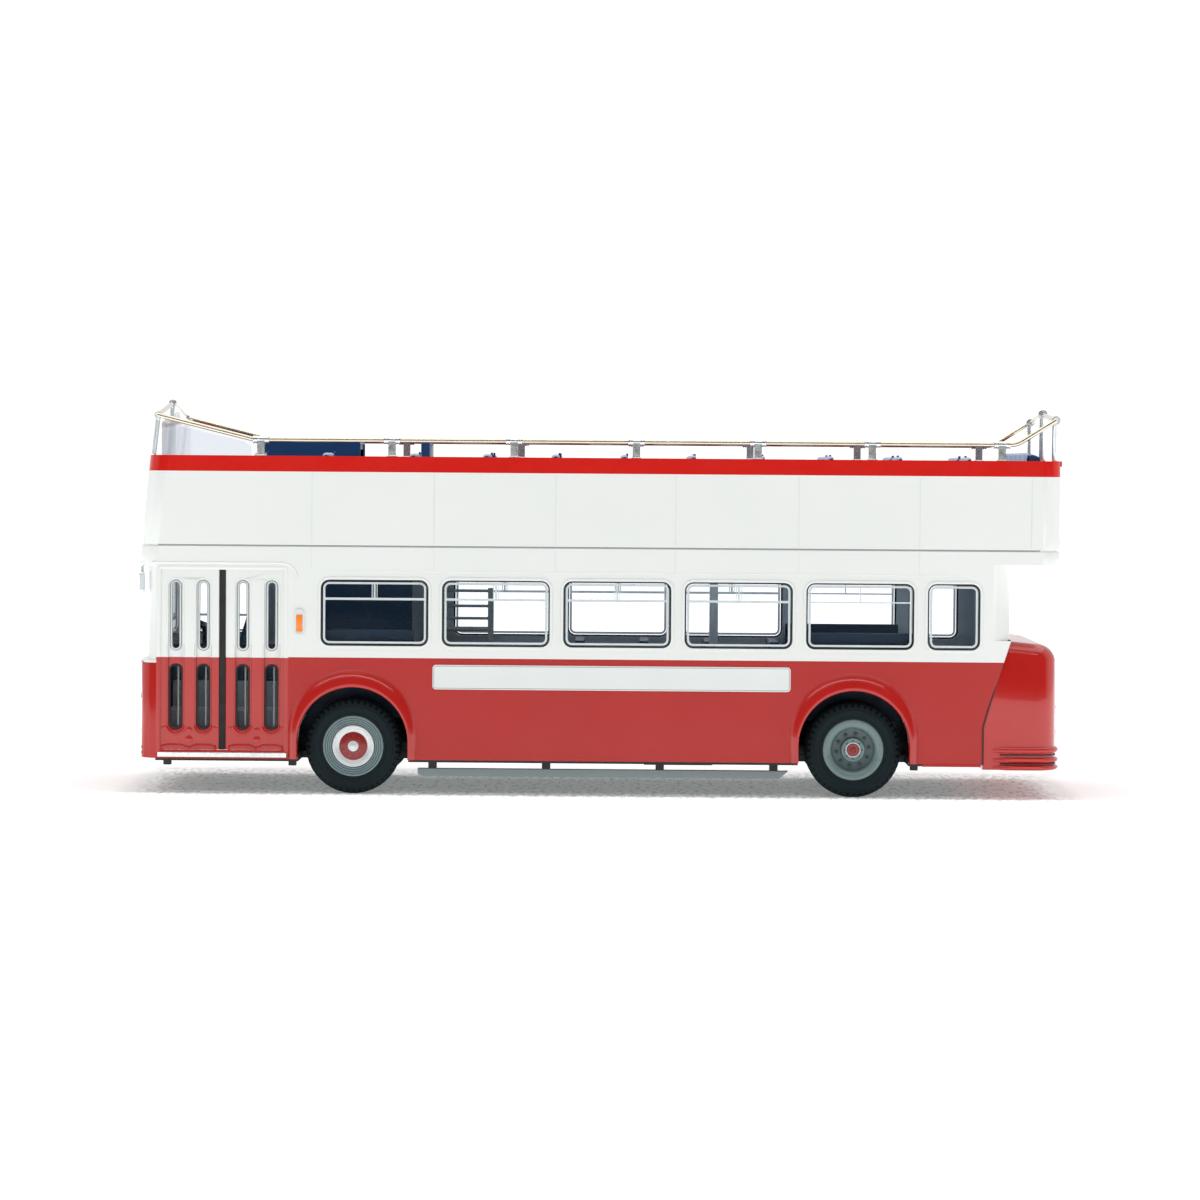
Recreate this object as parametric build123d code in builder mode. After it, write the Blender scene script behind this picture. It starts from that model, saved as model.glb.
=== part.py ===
from build123d import *
import os

# A 1:76 model of an open-top double-deck bus, in millimetres. +Z is up, the front is
# at -X and the entrance side (nearside) at -Y. The origin is on the floor, under the
# middle of the model.

# Along the bus
front_overhang = 28.2  # front panel to front axle
wheelbase = 65.3
tail_overhang = 26.9  # rear axle to the lip of the upper deck
upper_tail = 6.4  # the upper deck runs out this far behind the lower saloon
width = 32.4

# Heights
skirt_z = 4.6  # foot of the lower casting
waist_z = 17.4
part_z = 32.4  # joint between the two castings
upper_h = 11.7  # upper casting
ledge_drop = 2.8  # joint line down to the ledge over the windscreen
tail_drop = 1.8  # joint line down to the underside of the tail
bonnet_rise = 3.3  # waist up to the top of the engine cover

# Castings
wall = 1.2
front_bow = 0.5  # the front panels are bowed this much in plan
front_corner_r = 2.6
screen_corner_r = 1.8
rear_corner_r = 2.4
inner_corner_r = 1.4
screen_setback = 1.0
front_rake = 1.1  # lean of the upper front panel
rear_lip = 0.2
rear_lip_h = 0.7
groove = 0.12  # shadow line between the castings
deck_rebate = 0.6  # seat for the upper deck in the upper casting
fit = 0.1  # clearance of a moulding in a casting
glass_fit = 0.05

# Side windows: large ones and a quarter light behind them
window_count = 5
window_run = 23.95  # front panel to the first window
window_rise = 2.0  # waist to the sill
window_h = 8.7
window_r = 1.15
pillar_w = 1.68
quarter_w = 6.9
quarter_end = 4.0  # quarter light to the back of the saloon
cab_window_w = 9.0
cab_window_end = 11.15  # cab window back to the first pillar
glass_t = 0.5
glass_lap = 0.8  # glazing sheets run this far past the openings

# Front and rear windows
screen_edge = 3.9  # body side to a windscreen pane
screen_pillar = 1.2
rear_window_edge = 6.2  # body side to the rear window
rear_window_h = 6.4
rear_window_rise = 1.2  # engine cover to the sill
display_edge = 7.7  # body side to the destination display
display_h = 4.0
display_rise = 3.3  # joint line to the foot of the destination display

# Entrance
door_start = 2.8  # front panel to the front edge of the aperture
door_w = 16.8
sill_h = 0.8
door_t = 0.9
door_recess = 0.15
seal_w = 0.8
seal_proud = 0.1
slot_columns = (-6.1, -2.5, 2.65, 6.4)  # from the seal
door_slots = ((1.3, 10.4, 1.4), (-9.0, -0.5, 1.8))  # (foot and head above the waist, width)
slot_recess = 0.3
slot_border = 0.3
strip_h = 0.6
strip_t = 0.25

# Wheels
tyre_r = 6.25
tyre_w = 3.2
twin_w = 2.7
twin_gap = 0.3
rim_r = 3.96
axle_r = 0.75
axle_fit = 0.05
axle_inset = 0.9  # outer face of the tyre to the end of the axle
wheel_inset = 1.3  # body side to the outer face of the tyre
tyre_bulge = 0.15
tyre_shoulder = 0.5
arch_gap = 0.95  # tyre to wheel opening
arch_rise = 0.61  # centre of the opening above the axle
flare_w = 0.8
flare_rise = 0.79  # centre of the flare's outer arc above that of the opening
flare_t = 0.4

# Chassis
chassis_z = 4.2
chassis_t = 1.0
screw_r = 1.1
front_screw = 12.0  # ahead of the front axle
rear_screw = 10.7  # behind the rear axle
bearing_w = 1.6
bearing_l = 5.0
bearing_rise = 2.2  # axle to the top of a bearing
well_gap = 0.4  # chassis to the inner face of a tyre
foot_w = 1.0
foot_h = 0.6
foot_gap = 0.3  # wheel opening to a foot
pad_l = 24.0  # flat pad in the middle of the underside
pad_w = 7.0
pad_h = 0.4
# (x, side, inset from the edge, length, width, depth) of the mouldings underneath
relief = (
    (0.0, 1, 10.3, 46.0, 1.0, 0.3),
    (0.0, -1, 10.3, 46.0, 1.0, 0.3),
    (-12.5, 1, 5.0, 11.0, 5.4, 1.2),
    (10.5, -1, 5.0, 9.0, 5.0, 0.3),
    (12.0, 1, 5.3, 6.0, 6.0, 0.7),
)

# Side guard rails
guard_gap = 8.4  # axle to the end of a rail
guard_h = 1.05
guard_drop = 1.85  # chassis to the foot of a rail
guard_t = 0.8
guard_inset = 0.6  # chassis edge to the rail
guard_bevel = 1.2
guard_chamfer = 0.35
bracket_w = 1.1
bracket_inset = 1.95
bracket_count = 4

# Lower deck
floor_rise = 1.15  # axle bearings to the underside of the floor
floor_t = 1.0
aisle_half = 3.4
seat_gap = 0.4  # seat to glazing
seat_h = 8.8
cushion_h = 4.6
seat_depth = 5.6
back_t = 1.2
row_pitch = 8.8
row_start = 2.5  # rear wheel box to the last row
box_half = 7.8  # half length of the boxes over the wheels
box_lap = 1.2  # boxes reach this far inside the wheels
bench_rise = 4.5  # wheel opening to the bench cushion
bench_back = 2.9
leg_l = 2.0
leg_w = 8.0
leg_inset = 14.0  # axle to the first and last leg
leg_count = 3
post_r = 0.55
post_ahead = 18.0  # support post ahead of the rear axle
first_step_h = 2.4
second_step_back = 3.0
step_wall_t = 0.6
step_wall_h = 3.4  # saloon floor to the top of the wall by the steps
cab_wall_h = 8.3

# Cab
cab_run = 10.2  # front panel to the driver's seat
cab_inset = 6.2  # glazing to the middle of the seat
cab_seat_half = 2.9
cab_floor_run = 6.0  # front panel to the steering column
wheel_h = 10.2  # floor to steering wheel
steering_r = 2.6
steering_t = 0.5
column_r = 0.35
dash_top_l = 1.6
dash_foot_l = 0.9

# Stairs
stair_w = 9.4
stair_l = 12.6
stair_lead = 6.2  # ahead of the front axle
stair_steps = 7
stair_top_gap = 4.6  # top step to the upper deck
panel_t = 0.8
panel_bulge = 0.4
panel_lean = 1.8
guard_frame_l = 9.4
guard_frame_gap = 1.4
guard_bar_heights = ((15.1, 0.4), (13.0, 0.4), (11.3, 0.4), (9.8, 0.7))  # (height, thickness)

# Upper deck
deck_t = 1.4
upper_seat_h = 11.1
upper_cushion_h = 4.8
upper_depth = 5.0
pad_t = 0.8
upper_pitch = 9.0
last_row = 12.0  # back panel to the last row
front_rows = (15.6, 24.6, 35.6)  # front panel to the rows beside the stairs
bench_start = 8.6  # back panel to the rear bench
bench_depth = 6.2
hood_l = 13.6
hood_lead = 14.7  # front panel to the stair hood
hood_rise = 2.1  # above the upper casting
well_lap = 2.7  # stairwell over the top of the stairs

# Top rails
rail_r = 0.3
rail_inset = 0.65  # body side to the centre line of a side rail
rail_rise = 2.1  # above the upper casting
rail_gap = 0.05
post_shares = (0, 0.177, 0.342, 0.507, 0.671, 0.825, 1)  # places along the run of posts
first_post = 16.1
last_post = 7.8
post_w = 0.95
post_t = 0.8
clamp_l = 1.9
clamp_h = 0.85
rail_bend_r = 3.0
crown_r = 12.0
ring_l = 0.9
# (rail from the end panel, foot of its stanchions, corner rise, middle rise,
# stanchion radius, ring radius)
front_cross = (2.6, 2.0, 5.2, 7.0, 0.32, 0.45)
rear_cross = (0.8, 0.8, 5.3, 6.3, 0.45, 0.58)
sheet_t = 0.4  # clear front screen
sheet_back = 0.5  # behind the front rail
sheet_drop = 0.9
wing_gap = 1.4  # side of the screen to the first post

# Engine cover
cover_gap = 0.12
cover_foot_z = 3.9
cover_seam_back = 3.65  # foot of the seam, ahead of the back of the saloon
cover_seam_rise = 4.8  # skirt to the knee of the seam
cover_corner_r = 4.0
cover_back = 0.5  # ahead of the back panel
cover_slope = (3.4, 0.6)  # length and drop of the sloping part of its top
cover_round = 2.0
cover_ribs = ((2.6, 0.8), (1.25, 0.7), (0.35, 0.5))  # (centre above the foot, height)
rib_proud = 0.35
rib_start = 1.1

# Lamps, indicators and mirrors
lamps = ((12.2, 1.35), (7.7, 0.95))  # (height, radius)
lamp_edge = 5.0  # body side to a headlamp
lamp_t = 0.9
tail_edge = 4.9
tail_lamps = ((11.7, 0.75), (8.4, 0.75))
tail_proud = 0.4
indicator_run = 21.2  # front panel to the indicator
indicator_rise = 4.7  # waist to the middle of the indicator
indicator_h = 3.1
indicator_w = 0.85
indicator_t = 0.35
mirror_edge = 1.2
mirror_drop = 2.1  # ledge to the middle of the mirror
mirror_h = 2.6
mirror_w = 1.5
mirror_t = 0.6
mirror_arm_r = 0.2

# Worked-out places
length = front_overhang + wheelbase + tail_overhang
front_x = -length / 2
rear_x = length / 2 - rear_lip
front_axle_x = front_x + front_overhang
rear_axle_x = front_axle_x + wheelbase
saloon_rear_x = rear_x - upper_tail
screen_x = front_x + screen_setback
inner_front_x = screen_x + wall
half_w = width / 2
inner_w = half_w - wall
deck_half = inner_w - glass_t - fit
top_z = part_z + upper_h
deck_z = part_z + deck_t
ledge_z = part_z - ledge_drop
tail_z = part_z - tail_drop
bonnet_z = waist_z + bonnet_rise
axle_z = tyre_r
arch_r = tyre_r + arch_gap
arch_z = axle_z + arch_rise
flare_r = arch_r + flare_w
flare_z = arch_z + flare_rise
seam_x = saloon_rear_x - cover_seam_back
seam_z = skirt_z + cover_seam_rise
tyre_y = half_w - wheel_inset
wheel_inner = tyre_y - 2 * twin_w - twin_gap
well_y = wheel_inner - well_gap
floor_z = axle_z + bearing_rise + floor_rise
floor_top = floor_z + floor_t

sill_z = waist_z + window_rise
window_mid_z = sill_z + window_h / 2
glass_z = sill_z - glass_lap
glass_h = window_h + 2 * glass_lap
window_x0 = front_x + window_run
quarter_x = saloon_rear_x - quarter_end - quarter_w / 2
window_x1 = quarter_x - quarter_w / 2 - pillar_w
window_w = (window_x1 - window_x0 - (window_count - 1) * pillar_w) / window_count
window_pitch = window_w + pillar_w
windows = [(window_x0 + window_w / 2 + i * window_pitch, window_w) for i in range(window_count)]
cab_window = (window_x0 - cab_window_end - cab_window_w / 2, cab_window_w)
quarter_light = (quarter_x, quarter_w)
nearside_lights = windows + [quarter_light]
offside_lights = [cab_window] + windows[1:] + [quarter_light]
screen_pane_w = half_w - screen_pillar / 2 - screen_edge
rear_window_w = width - 2 * rear_window_edge
rear_window_z = bonnet_z + rear_window_rise + rear_window_h / 2
display_w = width - 2 * display_edge

door_x = front_x + door_start + door_w / 2
door_z = skirt_z + sill_h
door_face_y = half_w - door_recess

os.makedirs("parts", exist_ok=True)


def plan(z, x_front, x_rear, half, front_r, rear_r):
    # Plan outline: a bowed front, straight sides and rounded corners.
    with BuildSketch(Plane.XY.offset(z)) as outline:
        with BuildLine():
            ThreePointArc((x_front + front_bow, half), (x_front, 0), (x_front + front_bow, -half))
            Polyline(
                (x_front + front_bow, -half),
                (x_rear, -half),
                (x_rear, half),
                (x_front + front_bow, half),
            )
        make_face()
        fillet(outline.vertices().group_by(Axis.X)[0], front_r)
        fillet(outline.vertices().group_by(Axis.X)[-1], rear_r)
    return outline.sketch


def side_profile(points, y):
    # A closed outline in the XZ plane at the given y.
    with BuildSketch(Plane.XZ.offset(-y)) as profile:
        with BuildLine():
            Polyline(*points, close=True)
        make_face()
    return profile.sketch


def side_panes(lights, y, shrink):
    # Rounded window outlines on the body side, each smaller all round by shrink.
    with BuildSketch(Plane.XZ.offset(-y)) as panes:
        for x, w in lights:
            with Locations((x, window_mid_z)):
                RectangleRounded(w - 2 * shrink, window_h - 2 * shrink, window_r - shrink)
    return panes.sketch


def screen_panes(x, shrink):
    # The two windscreen panes.
    with BuildSketch(Plane.YZ.offset(x)) as panes:
        with Locations((0, window_mid_z)):
            with GridLocations(screen_pillar + screen_pane_w, 1, 2, 1):
                RectangleRounded(
                    screen_pane_w - 2 * shrink, window_h - 2 * shrink, window_r - shrink
                )
    return panes.sketch


def rear_pane(x, shrink):
    with BuildSketch(Plane.YZ.offset(x)) as pane:
        with Locations((0, rear_window_z)):
            RectangleRounded(
                rear_window_w - 2 * shrink, rear_window_h - 2 * shrink, window_r - shrink
            )
    return pane.sketch


def rows(last_x, limit_x, pitch):
    # Places of a run of seats, counted forward from the last one.
    return [last_x - i * pitch for i in range(int((last_x - limit_x) / pitch) + 1)]


def save(piece, name):
    piece.part.label = name
    export_step(piece.part, f"parts/{name}.step")


# Lower casting
with BuildPart() as flares:
    for axle_x in (front_axle_x, rear_axle_x):
        for side in (-1, 1):
            with BuildSketch(Plane.XZ.offset(-side * (half_w - wall / 2))):
                with Locations((axle_x, flare_z)):
                    Circle(flare_r)
                with Locations((axle_x, (flare_z + skirt_z) / 2)):
                    Rectangle(2 * flare_r, flare_z - skirt_z)
                with Locations((axle_x, skirt_z - flare_r)):
                    Rectangle(4 * flare_r, 2 * flare_r, mode=Mode.SUBTRACT)
            extrude(amount=-side * (flare_t + wall / 2))
    for outer in (flares.faces().sort_by(Axis.Y)[:2], flares.faces().sort_by(Axis.Y)[-2:]):
        fillet(outer.edges(), flare_t * 0.7)
    # On the entrance side a flare stops short of the doors and their step
    with BuildSketch(Plane.XZ.offset(half_w)):
        with Locations((door_x, skirt_z + flare_r)):
            Rectangle(door_w + 2 * fit, 2 * flare_r)
    extrude(amount=flare_t, mode=Mode.SUBTRACT)

with BuildPart() as lower_body:
    # (foot z, head z, front x, rear x, front corner, rear corner, inset)
    bands = (
        (skirt_z, waist_z, front_x, saloon_rear_x, front_corner_r, fit, 0),
        (waist_z, bonnet_z, screen_x, saloon_rear_x, screen_corner_r, fit, 0),
        (bonnet_z, ledge_z, screen_x, saloon_rear_x, screen_corner_r, rear_corner_r, 0),
        (ledge_z, tail_z, front_x, saloon_rear_x, front_corner_r, rear_corner_r, 0),
        (tail_z, part_z - groove, front_x, rear_x, front_corner_r, rear_corner_r, 0),
        (part_z - groove, part_z, front_x, rear_x, front_corner_r, rear_corner_r, groove),
    )
    for foot, head, x0, x1, r0, r1, inset in bands:
        extrude(plan(foot, x0 + inset, x1 - inset, half_w - inset, r0, r1), amount=head - foot)
    add(flares.part)
    # Hollow
    cavity = (
        (inner_front_x, skirt_z - wall),
        (seam_x - wall, skirt_z - wall),
        (seam_x - wall, seam_z),
        (saloon_rear_x - wall, bonnet_z),
        (saloon_rear_x - wall, tail_z),
        (saloon_rear_x, tail_z + wall),
        (rear_x - wall, tail_z + wall),
        (rear_x - wall, part_z + wall),
        (inner_front_x, part_z + wall),
    )
    extrude(side_profile(cavity, -inner_w), amount=-2 * inner_w, mode=Mode.SUBTRACT)
    # Room for the engine cover, which meets the casting on a sloping seam
    cover_room = (
        (seam_x, skirt_z - wall),
        (seam_x, seam_z),
        (saloon_rear_x, bonnet_z),
        (saloon_rear_x + wall, bonnet_z),
        (saloon_rear_x + wall, skirt_z - wall),
    )
    extrude(side_profile(cover_room, -width), amount=-2 * width, mode=Mode.SUBTRACT)
    # Wheel openings
    with BuildSketch(Plane.XZ):
        for axle_x in (front_axle_x, rear_axle_x):
            with Locations((axle_x, arch_z)):
                Circle(arch_r)
            with Locations((axle_x, arch_z - arch_r / 2)):
                Rectangle(2 * arch_r, arch_r)
    extrude(amount=width, both=True, mode=Mode.SUBTRACT)
    # Windows
    for side, lights in ((-1, nearside_lights), (1, offside_lights)):
        openings = side_panes(lights, side * (inner_w - wall), 0)
        extrude(openings, amount=-side * 3 * wall, mode=Mode.SUBTRACT)
    extrude(screen_panes(inner_front_x + wall, 0), amount=-3 * wall, mode=Mode.SUBTRACT)
    extrude(rear_pane(saloon_rear_x - 2 * wall, 0), amount=3 * wall, mode=Mode.SUBTRACT)
    # Door aperture
    with BuildSketch(Plane.XZ.offset(inner_w - wall)):
        with Locations((door_x, (door_z + ledge_z) / 2)):
            Rectangle(door_w, ledge_z - door_z)
    extrude(amount=3 * wall, mode=Mode.SUBTRACT)
save(lower_body, "lower_body")

# Upper casting
deck_front_x = front_x + front_rake + 2 * wall
display_x = front_x + front_rake
display_z = part_z + display_rise + display_h / 2
rebate_half = half_w - deck_rebate
with BuildPart() as upper_body:
    foot_x = front_x + groove
    foot = plan(part_z, foot_x, rear_x - groove, half_w - groove, front_corner_r, rear_corner_r)
    extrude(foot, amount=groove)
    add(plan(part_z + groove, front_x, rear_x, half_w, front_corner_r, rear_corner_r))
    add(plan(top_z, display_x, rear_x, half_w - fit, front_corner_r, rear_corner_r))
    loft(ruled=True)
    with BuildSketch(Plane.XY.offset(top_z - rear_lip_h)):
        with Locations((rear_x - wall / 2 + rear_lip, 0)):
            Rectangle(wall, 2 * (half_w - rear_corner_r))
    extrude(amount=rear_lip_h)
    hollow = plan(part_z, deck_front_x, rear_x - wall, inner_w, inner_corner_r, inner_corner_r)
    extrude(hollow, amount=upper_h, mode=Mode.SUBTRACT)
    rebate_x1 = rear_x - deck_rebate
    rebate = plan(part_z, front_x + wall, rebate_x1, rebate_half, inner_corner_r, inner_corner_r)
    extrude(rebate, amount=deck_rebate, mode=Mode.SUBTRACT)
    # Recess of the destination display
    with BuildSketch(Plane.YZ.offset(display_x)):
        with Locations((0, display_z)):
            RectangleRounded(display_w, display_h, slot_recess)
    extrude(amount=-2 * front_rake, mode=Mode.SUBTRACT)
save(upper_body, "upper_body")

with BuildPart() as destination_display:
    with BuildSketch(Plane.YZ.offset(display_x)):
        with Locations((0, display_z)):
            RectangleRounded(display_w - 2 * glass_fit, display_h - 2 * glass_fit, slot_recess)
    extrude(amount=-slot_recess)
save(destination_display, "destination_display")

# Engine cover
back_x = rear_x - cover_back
cover_front_x = seam_x + cover_gap
slope_l, slope_drop = cover_slope
with BuildPart() as cover_outline:
    extrude(plan(0, cover_front_x - upper_tail, back_x, half_w, fit, cover_corner_r), amount=part_z)
with BuildPart() as engine_cover:
    cover_shape = (
        (cover_front_x, cover_foot_z),
        (cover_front_x, seam_z),
        (saloon_rear_x + cover_gap, bonnet_z - fit),
        (back_x - slope_l, bonnet_z - slope_drop),
        (back_x, bonnet_z - slope_drop - cover_round),
        (back_x, cover_foot_z),
    )
    extrude(side_profile(cover_shape, -half_w), amount=-2 * half_w)
    knees = engine_cover.edges().filter_by(Axis.Y).group_by(Axis.Z)
    fillet(knees[-2], cover_round)
    fillet(engine_cover.edges().filter_by(Axis.Y).sort_by(Axis.X)[-2:].sort_by(Axis.Z)[-1:], cover_round)
    add(cover_outline.part, mode=Mode.INTERSECT)
    for rise, rib_h in cover_ribs:
        rib_foot = cover_foot_z + rise - rib_h / 2
        rib_half = half_w + rib_proud
        rib = plan(rib_foot, cover_front_x + rib_start, rear_x, rib_half, fit, cover_corner_r)
        extrude(rib, amount=rib_h)
    cover_hollow = (
        (cover_front_x - wall, cover_foot_z - wall),
        (cover_front_x - wall, seam_z),
        (saloon_rear_x - wall, bonnet_z - 2 * wall),
        (back_x - slope_l - fit, bonnet_z - slope_drop - 2 * wall),
        (back_x - wall, bonnet_z - slope_drop - cover_round - 2 * wall),
        (back_x - wall, cover_foot_z - wall),
    )
    extrude(side_profile(cover_hollow, wall - inner_w), amount=2 * (wall - inner_w), mode=Mode.SUBTRACT)
save(engine_cover, "engine_cover")

# Chassis
chassis_half = inner_w - fit
chassis_x0 = inner_front_x + fit
chassis_x1 = seam_x - wall - fit
chassis_top = chassis_z + chassis_t
screws = (front_axle_x - front_screw, rear_axle_x + rear_screw)
bearing_y = well_y - well_gap
guard_z = chassis_z - guard_drop
guard_x0 = front_axle_x + guard_gap
guard_x1 = rear_axle_x - guard_gap
bracket_step = (guard_x1 - guard_x0 - 2 * bracket_inset) / (bracket_count - 1)
brackets = [guard_x0 + bracket_inset + i * bracket_step for i in range(bracket_count)]
feet = (
    door_x - door_w / 2 + foot_w,
    front_axle_x - arch_r - foot_gap - foot_w / 2,
    rear_axle_x + arch_r + foot_gap + foot_w / 2,
)
with BuildPart() as chassis:
    with BuildSketch(Plane.XY.offset(chassis_z)):
        with Locations(((chassis_x0 + chassis_x1) / 2, 0)):
            Rectangle(chassis_x1 - chassis_x0, 2 * chassis_half)
        for axle_x in (front_axle_x, rear_axle_x):
            for side in (-1, 1):
                with Locations((axle_x, side * (well_y + half_w) / 2)):
                    Rectangle(2 * arch_r, half_w - well_y, mode=Mode.SUBTRACT)
    extrude(amount=chassis_t)
    # Axle bearings
    bearing_top = axle_z + bearing_rise
    for axle_x in (front_axle_x, rear_axle_x):
        for side in (-1, 1):
            with BuildSketch(Plane.XZ.offset(-side * bearing_y)):
                with Locations((axle_x, (chassis_z + bearing_top) / 2)):
                    Rectangle(bearing_l, bearing_top - chassis_z)
            extrude(amount=side * bearing_w)
    with BuildSketch(Plane.XZ):
        for axle_x in (front_axle_x, rear_axle_x):
            with Locations((axle_x, axle_z)):
                Circle(axle_r + axle_fit)
    extrude(amount=half_w, both=True, mode=Mode.SUBTRACT)
    # Mouldings, feet, guard rail brackets and the flat pad on the underside
    for x, side, inset, l, w, depth in relief:
        with BuildSketch(Plane.XY.offset(chassis_z)):
            with Locations((x, side * (chassis_half - inset))):
                Rectangle(l, w)
        extrude(amount=-depth)
    with BuildSketch(Plane.XY.offset(chassis_z)):
        for x in feet:
            for side in (-1, 1):
                with Locations((x, side * (chassis_half - foot_w))):
                    Rectangle(foot_w, foot_w)
    extrude(amount=-foot_h)
    with BuildSketch(Plane.XY.offset(chassis_z)):
        for x in brackets:
            for side in (-1, 1):
                with Locations((x, side * (chassis_half - guard_inset - guard_t / 2))):
                    Rectangle(bracket_w, guard_t)
    extrude(amount=guard_h - guard_drop)
    with BuildSketch(Plane.XY.offset(chassis_z)):
        Rectangle(pad_l, pad_w)
    extrude(amount=-pad_h)
    with BuildSketch(Plane.XY.offset(chassis_top)):
        for x in screws:
            with Locations((x, 0)):
                Circle(screw_r)
    extrude(amount=-2 * chassis_t, mode=Mode.SUBTRACT)
save(chassis, "chassis")

with BuildPart() as guard_rails:
    guard_shape = (
        (guard_x0, guard_z + guard_chamfer),
        (guard_x0 + 2 * guard_chamfer, guard_z),
        (guard_x1 - guard_bevel, guard_z),
        (guard_x1, guard_z + guard_h),
        (guard_x0, guard_z + guard_h),
    )
    for side in (-1, 1):
        extrude(side_profile(guard_shape, side * (chassis_half - guard_inset)), amount=side * guard_t)
save(guard_rails, "guard_rails")

# Wheels
rim_step = tyre_bulge + 0.35  # the rim flange stands back into the dish in two steps
flange_w = 0.5
lip_w = 0.7
cone_r = 2.75  # foot and mouth of the dish
cone_run = 0.1
boss_r = 1.55
# (end, axle x, outer faces of the tyres behind the wheel's face, tyre width, dish depth)
wheel_sets = (
    ("front", front_axle_x, (0.0,), tyre_w, 0.5),
    ("rear", rear_axle_x, (0.0, twin_w + twin_gap), twin_w, 1.2),
)
for end, axle_x, insets, w, dish in wheel_sets:
    deep = tyre_y - insets[-1] - w
    axle_line = Axis((axle_x, 0, axle_z), (0, 1, 0))
    with BuildPart() as axle:
        with BuildSketch(Plane.XZ):
            with Locations((axle_x, axle_z)):
                Circle(axle_r)
        extrude(amount=tyre_y - axle_inset, both=True)
    save(axle, f"{end}_axle")
    for side, hand in ((-1, "nearside"), (1, "offside")):
        across = Plane(origin=(axle_x, 0, axle_z), x_dir=(0, side, 0), z_dir=(side, 0, 0))
        with BuildPart() as tyre:
            for inset in insets:
                out = tyre_y - inset
                back = out - w
                with BuildSketch(across):
                    with BuildLine():
                        Polyline(
                            (out - tyre_bulge, rim_r),
                            (out, rim_r + lip_w),
                            (out, tyre_r - tyre_shoulder),
                            (out - tyre_shoulder, tyre_r),
                            (back + tyre_shoulder, tyre_r),
                            (back, tyre_r - tyre_shoulder),
                            (back, rim_r + lip_w),
                            (back + tyre_bulge, rim_r),
                            close=True,
                        )
                    make_face()
                revolve(axis=axle_line)
        save(tyre, f"{hand}_{end}_tyre")
        face = tyre_y - tyre_bulge
        with BuildPart() as hub:
            with BuildSketch(across):
                with BuildLine():
                    Polyline(
                        (face, rim_r),
                        (face, rim_r - flange_w),
                        (tyre_y - rim_step, rim_r - lip_w),
                        (tyre_y - rim_step, cone_r + cone_run / 2),
                        (face - dish, cone_r - cone_run / 2),
                        (face - dish, boss_r + cone_run / 2),
                        (face - cone_run, boss_r - cone_run / 2),
                        (face - cone_run, 0),
                        (deep + tyre_bulge, 0),
                        (deep + tyre_bulge, rim_r),
                        close=True,
                    )
                make_face()
            revolve(axis=axle_line)
            with BuildSketch(Plane.XZ):
                with Locations((axle_x, axle_z)):
                    Circle(axle_r)
            extrude(amount=-side * (tyre_y - axle_inset), mode=Mode.SUBTRACT)
        save(hub, f"{hand}_{end}_hub")

# Glazing: a sheet behind the openings with raised panes that fill them
pane_depth = wall - fit
glass_mid_z = glass_z + glass_h / 2
screen_depth = wall - front_bow - fit
step_x1 = door_x + door_w / 2 - 2 * glass_fit
step_x0 = inner_front_x + 2 * glass_t
sheet_x1 = saloon_rear_x - wall - glass_t - 2 * fit
# (side, name, windows, front end of the sheet)
glazing_sides = (
    (-1, "nearside_glazing", nearside_lights, door_x + door_w / 2 + glass_t + fit),
    (1, "offside_glazing", offside_lights, inner_front_x + glass_t + 2 * fit),
)
for side, name, lights, sheet_x0 in glazing_sides:
    with BuildPart() as glazing:
        with BuildSketch(Plane.XZ.offset(-side * inner_w)):
            with Locations(((sheet_x0 + sheet_x1) / 2, glass_mid_z)):
                Rectangle(sheet_x1 - sheet_x0, glass_h)
        extrude(amount=side * glass_t)
        extrude(side_panes(lights, side * inner_w, glass_fit), amount=-side * pane_depth)
    save(glazing, name)

with BuildPart() as windscreen:
    with BuildSketch(Plane.YZ.offset(inner_front_x)):
        with Locations((0, glass_mid_z)):
            Rectangle(2 * (half_w - screen_edge + glass_lap), glass_h)
    extrude(amount=glass_t)
    extrude(screen_panes(inner_front_x, glass_fit), amount=-screen_depth)
save(windscreen, "windscreen")

with BuildPart() as rear_window:
    with BuildSketch(Plane.YZ.offset(saloon_rear_x - wall)):
        with Locations((0, rear_window_z)):
            Rectangle(rear_window_w + glass_lap, rear_window_h + glass_lap)
    extrude(amount=-glass_t)
    extrude(rear_pane(saloon_rear_x - wall, glass_fit), amount=pane_depth)
save(rear_window, "rear_window")

# Entrance
leaf_foot = door_z + fit
leaf_head = ledge_z - fit
leaf_mid_z = (leaf_foot + leaf_head) / 2
leaf_w = (door_w - seal_w) / 2 - fit
leaves = [door_x + side * (seal_w + leaf_w) / 2 for side in (-1, 1)]
channel_foot = waist_z + door_slots[1][0]
channel_head = waist_z + door_slots[0][1]
channel_w = max(slot[2] for slot in door_slots) + slot_border
columns = [door_x + dx for dx in slot_columns]
with BuildPart() as entrance_doors:
    with BuildSketch(Plane.XZ.offset(door_face_y)):
        for x in leaves:
            with Locations((x, leaf_mid_z)):
                Rectangle(leaf_w, leaf_head - leaf_foot)
    extrude(amount=-door_t)
    # One shallow channel runs down through both windows of a column
    with BuildSketch(Plane.XZ.offset(door_face_y)):
        for x in columns:
            with Locations((x, (channel_foot + channel_head) / 2)):
                SlotOverall(channel_head - channel_foot + 2 * slot_border, channel_w, rotation=90)
    extrude(amount=-slot_recess, mode=Mode.SUBTRACT)
    with BuildSketch(Plane.XZ.offset(door_face_y)):
        for x in columns:
            for foot, head, w in door_slots:
                with Locations((x, waist_z + (foot + head) / 2)):
                    SlotOverall(head - foot, w, rotation=90)
    extrude(amount=-door_t, mode=Mode.SUBTRACT)
save(entrance_doors, "entrance_doors")

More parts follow.
